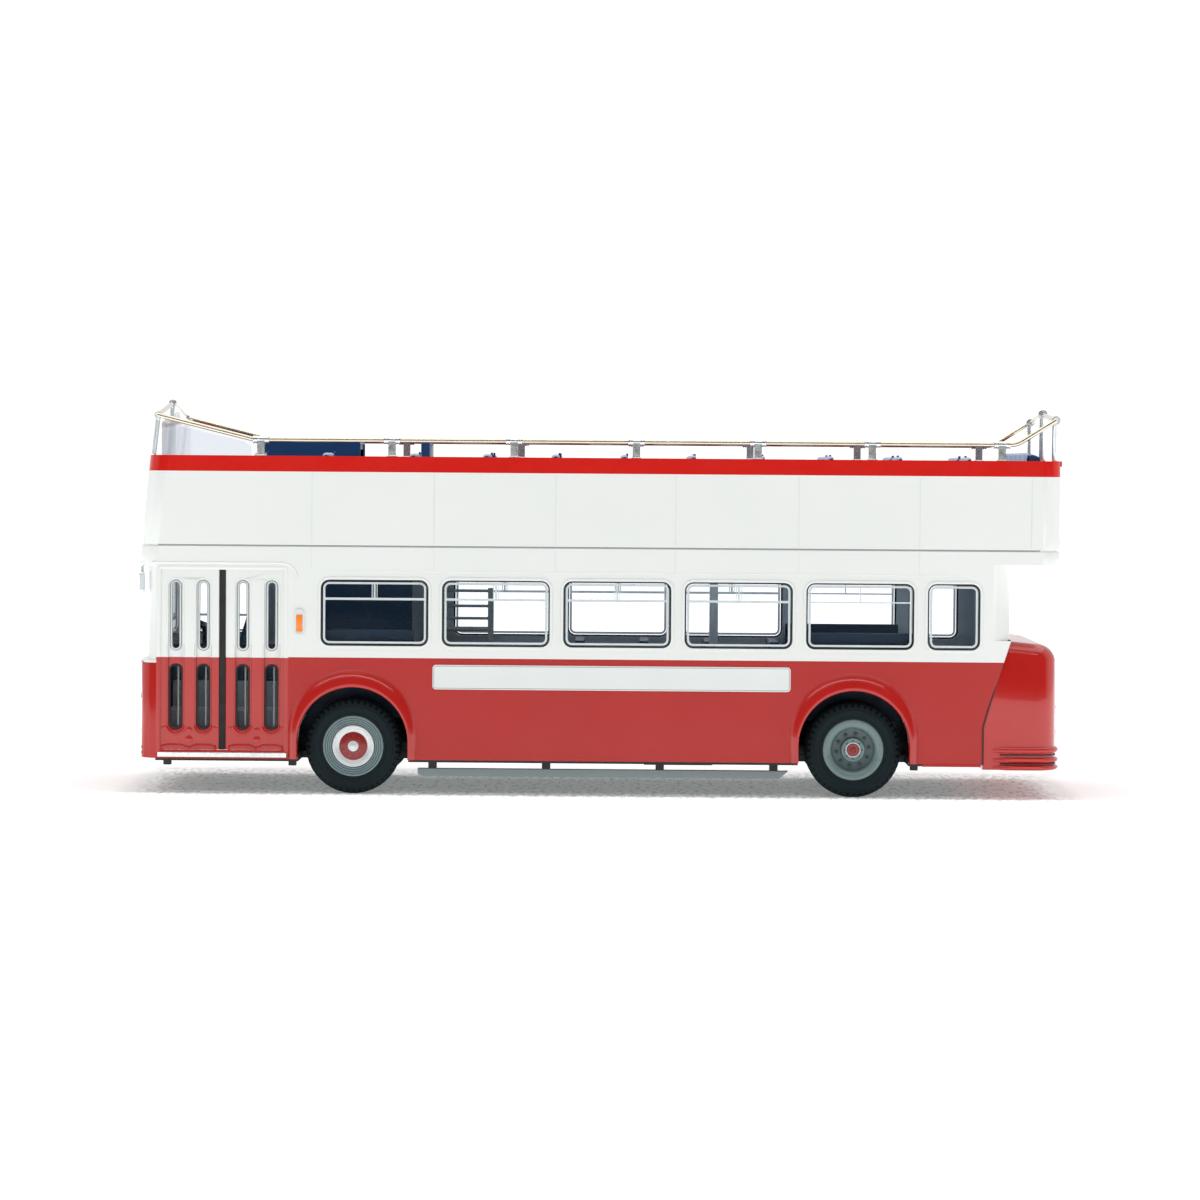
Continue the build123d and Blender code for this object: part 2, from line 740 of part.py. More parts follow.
door_back_y = door_face_y - door_t
with BuildPart() as door_glazing:
    with BuildSketch(Plane.XZ.offset(door_back_y)):
        for x in leaves:
            with Locations((x, (channel_foot + channel_head) / 2)):
                Rectangle(leaf_w - 2 * glass_lap, channel_head - channel_foot + glass_lap)
    extrude(amount=-glass_t)
save(door_glazing, "door_glazing")

with BuildPart() as door_seal:
    with BuildSketch(Plane.XZ.offset(door_back_y)):
        with Locations((door_x, leaf_mid_z)):
            Rectangle(seal_w, leaf_head - leaf_foot)
    extrude(amount=door_t + seal_proud)
save(door_seal, "door_seal")

with BuildPart() as step_strip:
    with BuildSketch(Plane.XZ.offset(half_w)):
        with Locations((door_x, door_z - strip_h / 2)):
            Rectangle(door_w, strip_h)
    extrude(amount=strip_t)
save(step_strip, "step_strip")

step_y0 = -(door_back_y - glass_t - fit)
with BuildPart() as entrance_steps:
    # (edge towards the doors, edge towards the cab, height)
    steps = (
        (step_y0, -aisle_half, chassis_top + first_step_h),
        (step_y0 + second_step_back, -aisle_half, floor_top),
        (-aisle_half - step_wall_t, -aisle_half, floor_top + step_wall_h),
    )
    for y0, y1, head in steps:
        with BuildSketch(Plane.XY.offset(chassis_top)):
            with Locations(((step_x0 + step_x1) / 2, (y0 + y1) / 2)):
                Rectangle(step_x1 - step_x0, y1 - y0)
        extrude(amount=head - chassis_top)
save(entrance_steps, "entrance_steps")

# Lower deck
saloon_x0 = step_x1 + fit
saloon_x1 = chassis_x1
cab_y0 = -aisle_half + fit
stair_y0 = deck_half - stair_w
stair_y1 = deck_half - fit
arch_top = arch_z + arch_r
leg_run = rear_axle_x - front_axle_x - 2 * leg_inset
legs = [front_axle_x + leg_inset + i * leg_run / (leg_count - 1) for i in range(leg_count)]
boxes = ((front_axle_x, -1), (rear_axle_x, -1), (rear_axle_x, 1))
with BuildPart() as lower_deck:
    with BuildSketch(Plane.XY.offset(floor_z)):
        with Locations(((saloon_x0 + saloon_x1) / 2, 0)):
            Rectangle(saloon_x1 - saloon_x0, 2 * deck_half)
        with Locations(((step_x0 + saloon_x1) / 2, (cab_y0 + deck_half) / 2)):
            Rectangle(saloon_x1 - step_x0, deck_half - cab_y0)
    extrude(amount=floor_t)
    # Legs on the chassis
    with BuildSketch(Plane.XY.offset(chassis_top)):
        for x in legs + [chassis_x1 - leg_l / 2]:
            with Locations((x, 0)):
                Rectangle(leg_l, leg_w)
    extrude(amount=floor_z - chassis_top)
    # Panel between the cab and the entrance
    with BuildSketch(Plane.XY.offset(floor_top)):
        with Locations(((step_x0 + step_x1) / 2, cab_y0 + step_wall_t / 2)):
            Rectangle(step_x1 - step_x0, step_wall_t)
    extrude(amount=cab_wall_h)
    # Boxes over the wheels, each with a bench on top that faces the aisle
    for x, side in boxes:
        inner_y = wheel_inner - box_lap
        with BuildSketch(Plane.XY.offset(floor_z)):
            with Locations((x, side * (deck_half + inner_y) / 2)):
                Rectangle(2 * box_half, deck_half - inner_y)
        extrude(amount=arch_top + bench_rise - floor_z)
        with BuildSketch(Plane.XY.offset(arch_top + bench_rise)):
            with Locations((x, side * (deck_half - back_t / 2))):
                Rectangle(2 * box_half, back_t)
        extrude(amount=bench_back)
    # Wheel clearance
    for axle_x in (front_axle_x, rear_axle_x):
        for side in (-1, 1):
            with BuildSketch(Plane.XZ.offset(-side * well_y)):
                with Locations((axle_x, arch_z)):
                    Circle(arch_r)
            extrude(amount=-side * half_w, mode=Mode.SUBTRACT)
save(lower_deck, "lower_deck")

seat_w = deck_half - seat_gap - aisle_half
guard_frame_x = front_axle_x - stair_lead + stair_l + guard_frame_gap
last_lower = rear_axle_x - box_half - row_start
# (side, how far forward the seats may reach)
lower_runs = ((-1, front_axle_x + box_half), (1, guard_frame_x + guard_frame_l))
with BuildPart() as lower_seats:
    for side, limit_x in lower_runs:
        for x in rows(last_lower, limit_x + seat_depth + fit, row_pitch):
            seat_shape = (
                (x + back_t, floor_top),
                (x + back_t, floor_top + seat_h),
                (x, floor_top + seat_h),
                (x - back_t, floor_top + cushion_h),
                (x - seat_depth, floor_top + cushion_h),
                (x - seat_depth, floor_top + cushion_h - back_t),
                (x - back_t, floor_top + cushion_h - back_t),
                (x - back_t, floor_top),
            )
            extrude(side_profile(seat_shape, side * aisle_half), amount=-side * seat_w)
save(lower_seats, "lower_seats")

with BuildPart() as support_post:
    with BuildSketch(Plane.XY.offset(floor_top)):
        with Locations((rear_axle_x - post_ahead, 0)):
            Circle(post_r + fit)
    with BuildSketch(Plane.XY.offset(part_z)):
        with Locations((rear_axle_x - post_ahead, 0)):
            Circle(post_r)
    loft()
save(support_post, "support_post")

# Stairs
stair_x0 = front_axle_x - stair_lead
stair_x1 = stair_x0 + stair_l
stair_head = part_z - deck_rebate
step_h = (part_z - stair_top_gap - floor_top) / stair_steps
step_l = stair_l / stair_steps
with BuildPart() as staircase:
    for i in range(stair_steps):
        with BuildSketch(Plane.XY.offset(floor_top + i * step_h)):
            with Locations((stair_x0 + (stair_l - i * step_l) / 2, (stair_y0 + stair_y1) / 2)):
                Rectangle(stair_l - i * step_l, stair_y1 - stair_y0)
        extrude(amount=step_h)
    # Side panel with a curved front edge
    with BuildSketch(Plane.XZ.offset(-stair_y0)):
        with BuildLine():
            knee_z = (floor_top + stair_head) / 2 - panel_lean
            Polyline(
                (stair_x0 + panel_lean, stair_head),
                (stair_x1, stair_head),
                (stair_x1, floor_top),
                (stair_x0, floor_top),
                (stair_x0, knee_z),
            )
            ThreePointArc(
                (stair_x0, knee_z),
                (stair_x0 + panel_bulge, (knee_z + stair_head) / 2),
                (stair_x0 + panel_lean, stair_head),
            )
        make_face()
    extrude(amount=-panel_t)
    with BuildSketch(Plane.XZ.offset(-well_y)):
        with Locations((front_axle_x, arch_z)):
            Circle(arch_r)
    extrude(amount=-half_w, mode=Mode.SUBTRACT)
save(staircase, "staircase")

with BuildPart() as stair_guard:
    guard_frame_y = stair_y1 - aisle_half / 3
    for height, t in guard_bar_heights:
        with BuildSketch(Plane.YZ.offset(guard_frame_x)):
            with Locations((guard_frame_y, floor_top + height)):
                Circle(t / 2)
        extrude(amount=guard_frame_l)
    with BuildSketch(Plane.XY.offset(floor_top)):
        for x in (guard_frame_x + panel_t / 2, guard_frame_x + guard_frame_l - panel_t / 2):
            with Locations((x, guard_frame_y)):
                Rectangle(panel_t, step_wall_t)
    extrude(amount=guard_bar_heights[0][0] + panel_t / 2)
save(stair_guard, "stair_guard")

# Cab
cab_x = front_x + cab_run
cab_y = deck_half - cab_inset
column_x = front_x + cab_floor_run
wheel_z = floor_top + wheel_h
with BuildPart() as driver_seat:
    # Cushion, leaning back and the pedestal under them
    cab_seat_shape = (
        (cab_x + 1.6, floor_top),
        (cab_x + 1.6, floor_top + 5.4),
        (cab_x + 3.2, floor_top + 12.0),
        (cab_x + 2.0, floor_top + 12.2),
        (cab_x + 0.4, floor_top + 7.0),
        (cab_x - 3.0, floor_top + 7.2),
        (cab_x - 3.0, floor_top + 5.6),
        (cab_x - 1.0, floor_top + 5.2),
        (cab_x - 1.0, floor_top),
    )
    extrude(side_profile(cab_seat_shape, cab_y - cab_seat_half), amount=-2 * cab_seat_half)
save(driver_seat, "driver_seat")

dash_x = inner_front_x + glass_t + fit
dash_y0 = cab_y0 + step_wall_t + fit
dash_z = glass_z - fit
with BuildPart() as dashboard:
    dash_shape = (
        (dash_x, floor_top),
        (dash_x, dash_z),
        (dash_x + dash_top_l, dash_z),
        (dash_x + dash_foot_l, floor_top),
    )
    extrude(side_profile(dash_shape, dash_y0), amount=dash_y0 - deck_half + fit)
save(dashboard, "dashboard")

wheel_tilt = Plane(origin=(column_x, cab_y, wheel_z), x_dir=(0, 1, 0), z_dir=(0.4, 0, 0.917))
with BuildPart() as steering_wheel:
    with BuildSketch(wheel_tilt):
        Circle(steering_r + steering_t / 2)
        Circle(steering_r - steering_t / 2, mode=Mode.SUBTRACT)
        with PolarLocations(steering_r / 2, 3, start_angle=90):
            Rectangle(steering_r, steering_t)
        Circle(steering_t)
    extrude(amount=steering_t / 2, both=True)
    with BuildSketch(Plane.XY.offset(floor_top)):
        with Locations((column_x, cab_y)):
            Circle(column_r)
    extrude(amount=wheel_h)
save(steering_wheel, "steering_wheel")

# Upper deck
hood_x0 = front_x + hood_lead
hood_top = top_z + hood_rise
with BuildPart() as upper_deck:
    rebate_x0 = front_x + wall + fit
    rebate_x1 = rear_x - deck_rebate - fit
    tray_x1 = rear_x - wall - fit
    flange = plan(part_z, rebate_x0, rebate_x1, rebate_half - fit, inner_corner_r, inner_corner_r)
    extrude(flange, amount=deck_rebate)
    tray_x0 = deck_front_x + fit
    tray = plan(part_z, tray_x0, tray_x1, inner_w - fit, inner_corner_r, inner_corner_r)
    extrude(tray, amount=deck_t)
    # Stairwell
    well_x0 = hood_x0 + panel_t
    well_x1 = stair_x0 + well_lap
    with BuildSketch(Plane.XY.offset(deck_z)):
        with Locations(((well_x0 + well_x1) / 2, (stair_y0 + stair_y1) / 2)):
            Rectangle(well_x1 - well_x0, stair_y1 - stair_y0 - 2 * panel_t)
    extrude(amount=-2 * deck_t, mode=Mode.SUBTRACT)
save(upper_deck, "upper_deck")

front_row_x = [front_x + run for run in front_rows]
main_rows = rows(rear_x - last_row, front_row_x[-1] + upper_pitch, upper_pitch)
seat_rows = [(-1, x) for x in front_row_x + main_rows] + [(1, x) for x in main_rows]
upper_cushion_z = deck_z + upper_cushion_h
seat_head = deck_z + upper_seat_h
pad_head = seat_head - pad_t / 2
pad_inset = seat_gap / 2
pad_y = aisle_half + pad_inset
with BuildPart() as upper_seats:
    for side, x in seat_rows:
        frame_shape = (
            (x + pad_t, deck_z),
            (x + pad_t, pad_head),
            (x, pad_head),
            (x - pad_t, upper_cushion_z),
            (x - upper_depth, upper_cushion_z),
            (x - upper_depth, upper_cushion_z - pad_t),
            (x - 2 * pad_t, upper_cushion_z - pad_t),
            (x - 2 * pad_t, deck_z),
        )
        extrude(side_profile(frame_shape, side * aisle_half), amount=-side * seat_w)
save(upper_seats, "upper_seats")

with BuildPart() as seat_pads:
    for side, x in seat_rows:
        pad_shape = (
            (x - pad_t, upper_cushion_z),
            (x, pad_head),
            (x + pad_t / 2, pad_head),
            (x + pad_t / 4, seat_head),
            (x - pad_t / 2, seat_head),
            (x - 2 * pad_t, upper_cushion_z + pad_t),
            (x - upper_depth + pad_t / 2, upper_cushion_z + pad_t),
            (x - upper_depth, upper_cushion_z + pad_t / 2),
            (x - upper_depth, upper_cushion_z),
        )
        extrude(side_profile(pad_shape, side * pad_y), amount=-side * (seat_w - 2 * pad_inset))
save(seat_pads, "seat_pads")

with BuildPart() as rear_bench:
    bench_x0 = rear_x - bench_start
    bench_x1 = bench_x0 + bench_depth
    bench_shape = (
        (bench_x0, deck_z),
        (bench_x0, upper_cushion_z),
        (bench_x1 - 2 * back_t, upper_cushion_z),
        (bench_x1 - back_t, seat_head),
        (bench_x1, seat_head),
        (bench_x1, deck_z),
    )
    extrude(side_profile(bench_shape, seat_gap - deck_half), amount=2 * (seat_gap - deck_half))
save(rear_bench, "rear_bench")

with BuildPart() as stair_hood:
    hood_bevel = panel_t / 2
    hood_shape = (
        (hood_x0, deck_z),
        (hood_x0, hood_top - hood_bevel),
        (hood_x0 + hood_bevel, hood_top),
        (hood_x0 + hood_l, hood_top),
        (hood_x0 + hood_l, deck_z),
    )
    extrude(side_profile(hood_shape, stair_y0), amount=stair_y0 - stair_y1)
    hood_hollow = (
        (hood_x0 + panel_t, deck_z - panel_t),
        (hood_x0 + panel_t, hood_top - panel_t),
        (hood_x0 + hood_l + panel_t, hood_top - panel_t),
        (hood_x0 + hood_l + panel_t, deck_z - panel_t),
    )
    hollow_w = stair_y1 - stair_y0 - 2 * panel_t
    extrude(side_profile(hood_hollow, stair_y0 + panel_t), amount=-hollow_w, mode=Mode.SUBTRACT)
save(stair_hood, "stair_hood")

# Top rails
rail_y = half_w - rail_inset
rail_z = top_z + rail_rise
ring_y = rail_y - rail_r - rail_gap  # outer end of the corner rings
end_post_y = ring_y - ring_l / 2
post_x0 = front_x + first_post
post_x1 = rear_x - last_post
rail_posts = [post_x0 + share * (post_x1 - post_x0) for share in post_shares]
# (rail x, foot x, corner z, middle z, stanchion radius, ring radius)
cross_rails = (
    (front_x + front_cross[0], front_x + front_cross[1], *front_cross[2:]),
    (rear_x - rear_cross[0], rear_x - rear_cross[1], *rear_cross[2:]),
)
front_rail_x, _, front_rise, front_peak, _, _ = cross_rails[0]
rear_rail_x, _, rear_rise, _, _, _ = cross_rails[1]
with BuildPart() as side_rails:
    for side in (-1, 1):
        with BuildLine(Plane.XZ.offset(-side * rail_y)) as rail_path:
            FilletPolyline(
                (front_rail_x, top_z + front_rise),
                (post_x0 - clamp_l / 2, rail_z),
                (post_x1 + clamp_l, rail_z),
                (rear_rail_x, top_z + rear_rise),
                radius=rail_bend_r,
            )
        with BuildSketch(Plane(origin=rail_path.line @ 0, z_dir=rail_path.line % 0)):
            Circle(rail_r)
        sweep(path=rail_path.line)
save(side_rails, "side_rails")

with BuildPart() as rail_stanchions:
    for side in (-1, 1):
        with BuildSketch(Plane.XY.offset(top_z)):
            for x in rail_posts:
                with Locations((x, side * rail_y)):
                    Rectangle(post_w, post_t)
        extrude(amount=rail_rise)
        for x in rail_posts:
            with BuildSketch(Plane.YZ.offset(x - clamp_l / 2)):
                with Locations((side * rail_y, rail_z)):
                    Circle(clamp_h / 2)
            extrude(amount=clamp_l)
    add(side_rails.part, mode=Mode.SUBTRACT)
save(rail_stanchions, "rail_stanchions")

with BuildPart() as end_rails:
    for x, _, corner_rise, middle_rise, _, _ in cross_rails:
        with BuildLine(Plane.YZ.offset(x)) as cross_path:
            FilletPolyline(
                (-ring_y, top_z + corner_rise),
                (0, top_z + middle_rise),
                (ring_y, top_z + corner_rise),
                radius=crown_r,
            )
        with BuildSketch(Plane(origin=cross_path.line @ 0, z_dir=cross_path.line % 0)):
            Circle(rail_r)
        sweep(path=cross_path.line)
save(end_rails, "end_rails")

with BuildPart() as end_stanchions:
    for x, foot_x, corner_rise, middle_rise, stem_r, ring_r in cross_rails:
        for y in (-end_post_y, 0, end_post_y):
            # The rounded middle of the rail lies a little under the point of its corner
            head_z = top_z + (middle_rise - fit if y == 0 else corner_rise)
            with BuildSketch(Plane.XY.offset(top_z)):
                with Locations((foot_x, y)):
                    Circle(stem_r)
            with BuildSketch(Plane.XY.offset(head_z)):
                with Locations((x, y)):
                    Circle(stem_r)
            loft(ruled=True)
            with BuildSketch(Plane.XZ.offset(-y - ring_l / 2)):
                with Locations((x, head_z)):
                    Circle(ring_r)
            extrude(amount=ring_l)
    add(end_rails.part, mode=Mode.SUBTRACT)
save(end_stanchions, "end_stanchions")

with BuildPart() as front_screen:
    sheet_x = front_rail_x + sheet_back
    corner_z = top_z + front_rise - sheet_drop
    wing_x = post_x0 - wing_gap
    with BuildSketch(Plane.YZ.offset(sheet_x)):
        with BuildLine():
            Polyline(
                (-ring_y, top_z),
                (-ring_y, corner_z),
                (0, top_z + front_peak - sheet_drop - rail_r),
                (ring_y, corner_z),
                (ring_y, top_z),
                close=True,
            )
        make_face()
    extrude(amount=sheet_t)
    wing_shape = (
        (sheet_x, top_z),
        (sheet_x, corner_z),
        (wing_x - sheet_drop, rail_z - rail_r),
        (wing_x, rail_z - sheet_drop),
        (wing_x, top_z),
    )
    for side in (-1, 1):
        extrude(side_profile(wing_shape, side * (ring_y - sheet_t)), amount=-side * sheet_t)
save(front_screen, "front_screen")

# Lamps, indicators and mirrors
with BuildPart() as headlights:
    with BuildSketch(Plane.YZ.offset(front_x)):
        for z, r in lamps:
            for side in (-1, 1):
                with Locations((side * (half_w - lamp_edge), z)):
                    Circle(r)
    extrude(amount=lamp_t)
    panel = plan(skirt_z, front_x, rear_x, half_w, front_corner_r, rear_corner_r)
    extrude(panel, amount=waist_z - skirt_z, mode=Mode.SUBTRACT)
save(headlights, "headlights")

with BuildPart() as tail_lights:
    with BuildSketch(Plane.YZ.offset(back_x)):
        for z, r in tail_lamps:
            for side in (-1, 1):
                with Locations((side * (half_w - tail_edge), z)):
                    Circle(r)
    extrude(amount=tail_proud)
save(tail_lights, "tail_lights")

with BuildPart() as side_indicators:
    for side in (-1, 1):
        with BuildSketch(Plane.XZ.offset(-side * half_w)):
            with Locations((front_x + indicator_run, waist_z + indicator_rise)):
                SlotOverall(indicator_h, indicator_w, rotation=90)
        extrude(amount=-side * indicator_t)
save(side_indicators, "side_indicators")

with BuildPart() as mirrors:
    mirror_x = front_x + mirror_t / 2
    mirror_z = ledge_z - mirror_drop
    for side in (-1, 1):
        mirror_y = side * (half_w - mirror_edge)
        with BuildSketch(Plane.YZ.offset(mirror_x)):
            with Locations((mirror_y, mirror_z)):
                RectangleRounded(mirror_w, mirror_h, mirror_t / 2)
        extrude(amount=mirror_t)
        with BuildSketch(Plane.XY.offset(ledge_z)):
            with Locations((mirror_x + mirror_t / 2, mirror_y)):
                Circle(mirror_arm_r)
        extrude(amount=-mirror_drop)
save(mirrors, "mirrors")
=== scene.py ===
import math
import bmesh
import bpy
from mathutils import Matrix, Vector
from mathutils.bvhtree import BVHTree


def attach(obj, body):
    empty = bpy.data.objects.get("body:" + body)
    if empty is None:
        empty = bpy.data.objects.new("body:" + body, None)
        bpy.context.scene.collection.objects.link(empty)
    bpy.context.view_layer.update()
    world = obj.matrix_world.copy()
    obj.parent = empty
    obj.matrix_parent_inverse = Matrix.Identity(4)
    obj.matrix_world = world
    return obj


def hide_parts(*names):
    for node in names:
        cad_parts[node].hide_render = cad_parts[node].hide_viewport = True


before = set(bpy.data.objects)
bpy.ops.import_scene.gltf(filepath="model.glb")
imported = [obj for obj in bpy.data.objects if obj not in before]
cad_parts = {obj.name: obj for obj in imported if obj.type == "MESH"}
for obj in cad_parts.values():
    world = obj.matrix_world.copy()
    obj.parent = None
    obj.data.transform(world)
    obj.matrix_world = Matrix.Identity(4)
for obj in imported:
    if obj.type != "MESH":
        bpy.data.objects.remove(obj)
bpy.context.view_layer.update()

# Open-top double deck bus, 1:76. Sizes are millimetres in the frame of the CAD model:
# front at -X, entrance side at -Y, floor at Z 0.
mm = 0.001
sides = {"nearside": -1, "offside": 1}  # the sign of Y on each side


def linear(code):
    # sRGB hex such as "C0392B" to the linear values that shaders take
    values = [int(code[i:i + 2], 16) / 255 for i in (0, 2, 4)]
    return tuple(v / 12.92 if v <= 0.04045 else ((v + 0.055) / 1.055) ** 2.4 for v in values) + (1.0,)


def setInputs(node, inputs):
    # an input takes a value or another node's output
    for name, value in inputs.items():
        if isinstance(value, bpy.types.NodeSocket):
            node.id_data.links.new(value, node.inputs[name])
        else:
            node.inputs[name].default_value = value


def addNode(tree, kind, inputs=None, output=0, **settings):
    # one node with its settings and links; hands back one of its outputs
    node = tree.nodes.new("ShaderNode" + kind)
    for name, value in settings.items():
        setattr(node, name, value)
    setInputs(node, inputs or {})
    return node.outputs[output] if node.outputs else node


def lumps(place, size, detail=2.0, rough=0.5):
    # inputs of a noise whose lumps are about size mm across
    return {"Vector": place, "Scale": 1 / (size * mm), "Detail": detail, "Roughness": rough}


def newMaterial(name):
    # a material, its tree, its shader and the place on the piece in metres
    material = bpy.data.materials.new(name)
    material.use_nodes = True
    tree = material.node_tree
    return material, tree, tree.nodes["Principled BSDF"], addNode(tree, "TexCoord", output="Object")


# Mesh tools. All of them draw in millimetres into a bmesh, and makePiece scales it.
def roundedRect(cx, cy, w, h, r, steps=6):
    # closed outline, counter-clockwise, of a rectangle with rounded corners
    points = []
    for qx, qy, start in ((1, 1, 0), (-1, 1, 90), (-1, -1, 180), (1, -1, 270)):
        for i in range(steps + 1):
            a = math.radians(start + 90 * i / steps)
            points.append((cx + qx * (w / 2 - r) + r * math.cos(a), cy + qy * (h / 2 - r) + r * math.sin(a)))
    return points


def polygon(cx, cy, r, count, start=0.0):
    turns = [start + 2 * math.pi * i / count for i in range(count)]
    return [(cx + r * math.cos(a), cy + r * math.sin(a)) for a in turns]


def strip(start, end, width):
    # outline of a straight strip between two points
    a, b = Vector(start), Vector(end)
    side = (b - a).normalized().orthogonal() * (width / 2)
    return [tuple(a - side), tuple(b - side), tuple(b + side), tuple(a + side)]


def span(start, end, count):
    # count + 1 values evenly from start to end
    return [start + (end - start) * i / count for i in range(count + 1)]


def onPlane(axis, where, sign=0):
    # lays flat coordinates on the plane across an axis (0 X, 1 Y, 2 Z); out leads along
    # sign, or away from the middle of the bus
    sign = sign or (-1 if where < 0 else 1)

    def place(p, out=0.0):
        spot = list(p)
        spot.insert(axis, where + sign * out)
        return Vector(spot)

    return place


def onSide(y):
    return onPlane(1, y)


def onEnd(x):
    return onPlane(0, x)


def against(nodeName, axis, sign, otherwise):
    # lays flat coordinates on a CAD node, met from outside along an axis; otherwise is the
    # place along the axis where there is nothing to meet
    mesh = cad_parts[nodeName].data
    tree = BVHTree.FromPolygons([v.co for v in mesh.vertices], [tuple(p.vertices) for p in mesh.polygons])
    ray = onPlane(axis, -sign)((0, 0))

    def place(p, out=0.0):
        spot = onPlane(axis, sign * 100)(p)
        hit = tree.ray_cast(spot * mm, ray)[0]
        spot[axis] = (hit[axis] / mm if hit else otherwise) + sign * out
        return spot

    return place


def insetLoop(points, d):
    # the outline moved inwards by d
    out = []
    n = len(points)
    area = sum(p[0] * q[1] - q[0] * p[1] for p, q in zip(points, [*points[1:], points[0]]))
    s = 1 if area > 0 else -1
    for i in range(n):
        a, b, c = Vector(points[i - 1]), Vector(points[i]), Vector(points[(i + 1) % n])
        u = (b - a).normalized() if (b - a).length > 1e-9 else (c - b).normalized()
        v = (c - b).normalized() if (c - b).length > 1e-9 else u
        m = u + v
        m = m.normalized() if m.length > 1e-9 else u
        normal = Vector((-m.y, m.x)) * s
        cosine = max(0.3, m.dot(u))
        out.append(tuple(b + normal * (d / cosine)))
    return out


def addGrid(bm, rings, closedRing=True, closedRun=False):
    # a skin over rings of points, each with as many points; a run that isn't closed is capped
    rows = [[bm.verts.new(p) for p in ring] for ring in rings]
    n = len(rows[0])
    for i in range(len(rows) if closedRun else len(rows) - 1):
        a, b = rows[i], rows[(i + 1) % len(rows)]
        for j in range(n if closedRing else n - 1):
            k = (j + 1) % n
            bm.faces.new((a[j], a[k], b[k], b[j]))
    if closedRing and not closedRun:
        bm.faces.new(rows[0][::-1])
        bm.faces.new(rows[-1])


def addPlate(bm, outline, place, foot, head, bevel=0.0):
    # a flat piece with this outline from foot to head mm off its plane, its outer rim bevelled
    rings = [[place(p, foot) for p in outline], [place(p, head - bevel) for p in outline]]
    if bevel:
        rings.append([place(p, head) for p in insetLoop(outline, bevel)])
    addGrid(bm, rings)


def addFrame(bm, outline, place, profile):
    # a moulding swept round a closed outline; profile is (inset, height off the plane)
    rings = []
    for inset, out in profile:
        loop = insetLoop(outline, inset) if abs(inset) > 1e-9 else outline
        rings.append([place(p, out) for p in loop])
    addGrid(bm, rings, closedRun=True)


def rimProfile(width, height):
    return [
        (0, -0.04), (0.04, height * 0.5), (width * 0.3, height), (width * 0.75, height),
        (width, height * 0.4), (width, -0.04),
    ]


def bandProfile(width, height):
    return [(0, -0.02), (0.03, height), (width - 0.03, height), (width, -0.02)]


def addTube(bm, path, r, around=12):
    # a round bar along a path of points
    points = [Vector(p) for p in path]
    rings = []
    normal = None
    for i, p in enumerate(points):
        along = (points[min(i + 1, len(points) - 1)] - points[max(i - 1, 0)]).normalized()
        if normal is None:
            normal = along.orthogonal().normalized()
        normal = (normal - along * normal.dot(along)).normalized()
        across = along.cross(normal)
        rings.append([p + normal * c + across * s for c, s in polygon(0, 0, r, around)])
    addGrid(bm, rings)


def addBead(bm, points, place, r):
    # a half-round bead along points on a surface
    addTube(bm, [place(p) for p in points], r, 8)


def addLathe(bm, centre, profile, axis, steps, closed=False):
    # profile of (distance along the axis, radius) turned about the axis through centre
    rings = []
    for along, r in profile:
        ring = []
        for c, s in polygon(0, 0, r, steps):
            offset = {"X": (along, c, s), "Y": (c, along, s), "Z": (c, s, along)}[axis]
            ring.append(Vector(centre) + Vector(offset))
        rings.append(ring)
    addGrid(bm, rings, closedRun=closed)


def addBox(bm, low, high, bevel):
    # a box with rounded edges
    geom = bmesh.ops.create_cube(bm, size=1)
    size = Vector(high) - Vector(low)
    middle = (Vector(high) + Vector(low)) / 2
    for v in geom["verts"]:
        v.co = Vector((v.co.x * size.x, v.co.y * size.y, v.co.z * size.z)) + middle
    edges = {e for v in geom["verts"] for e in v.link_edges}
    bmesh.ops.bevel(bm, geom=list(edges), offset=bevel, segments=2, profile=0.5, affect="EDGES")


def addObject(name, bm, materials):
    # a bmesh drawn in millimetres as an object of the scene
    bmesh.ops.scale(bm, vec=(mm, mm, mm), verts=bm.verts)
    mesh = bpy.data.meshes.new(name)
    bm.to_mesh(mesh)
    bm.free()
    for material in materials:
        mesh.materials.append(material)
    thing = bpy.data.objects.new(name, mesh)
    bpy.context.scene.collection.objects.link(thing)
    return thing


def makePiece(name, bm, material, body="body", standsFor=(), sharp=35.0):
    # finishes a bmesh as one piece that rides on a body
    bmesh.ops.recalc_face_normals(bm, faces=bm.faces)
    thing = addObject(name, bm, material if isinstance(material, list) else [material])
    thing.data.shade_smooth()
    thing.data.set_sharp_from_angle(angle=math.radians(sharp))
    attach(thing, body)
    if standsFor:
        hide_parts(*standsFor)


# Camera, floor and light
cameraValues = {
    "place": (4.0, -480.0, 43.0),
    "turn": 0.478,  # degrees to the left
    "pitch": -2.142,  # degrees above level
    "roll": 0.42,
    "lens": 107.1,
    "sensor": 36.0,
}
lightValues = {
    "sky": 0.47,  # what lights the model
    "mirrored": 0.95,  # what its bright metal and gloss show
    "room": (0.14, 0.1302, 0.119),  # the unlit room behind the camera, which dark reflections come from
    "backdrop": 1.1,  # what the camera sees behind the model
    "roomTop": 0.95,  # sine of the angle up to where the room ends
    "top": {"place": (0, 40, 620), "aim": (0, 0, 0), "size": (1100, 800), "watts": 2.72, "glossy": True},
    "strip": {"place": (-60, -520, 500), "aim": (0, 0, 20), "size": (900, 36), "watts": 0.51, "glossy": True},
    # under the upper deck, so that the saloon is not black behind its glass
    "saloon": {"place": (2, -3, 32.1), "aim": (2, -3, 0), "size": (98, 20), "watts": 0.0056, "glossy": False},
}
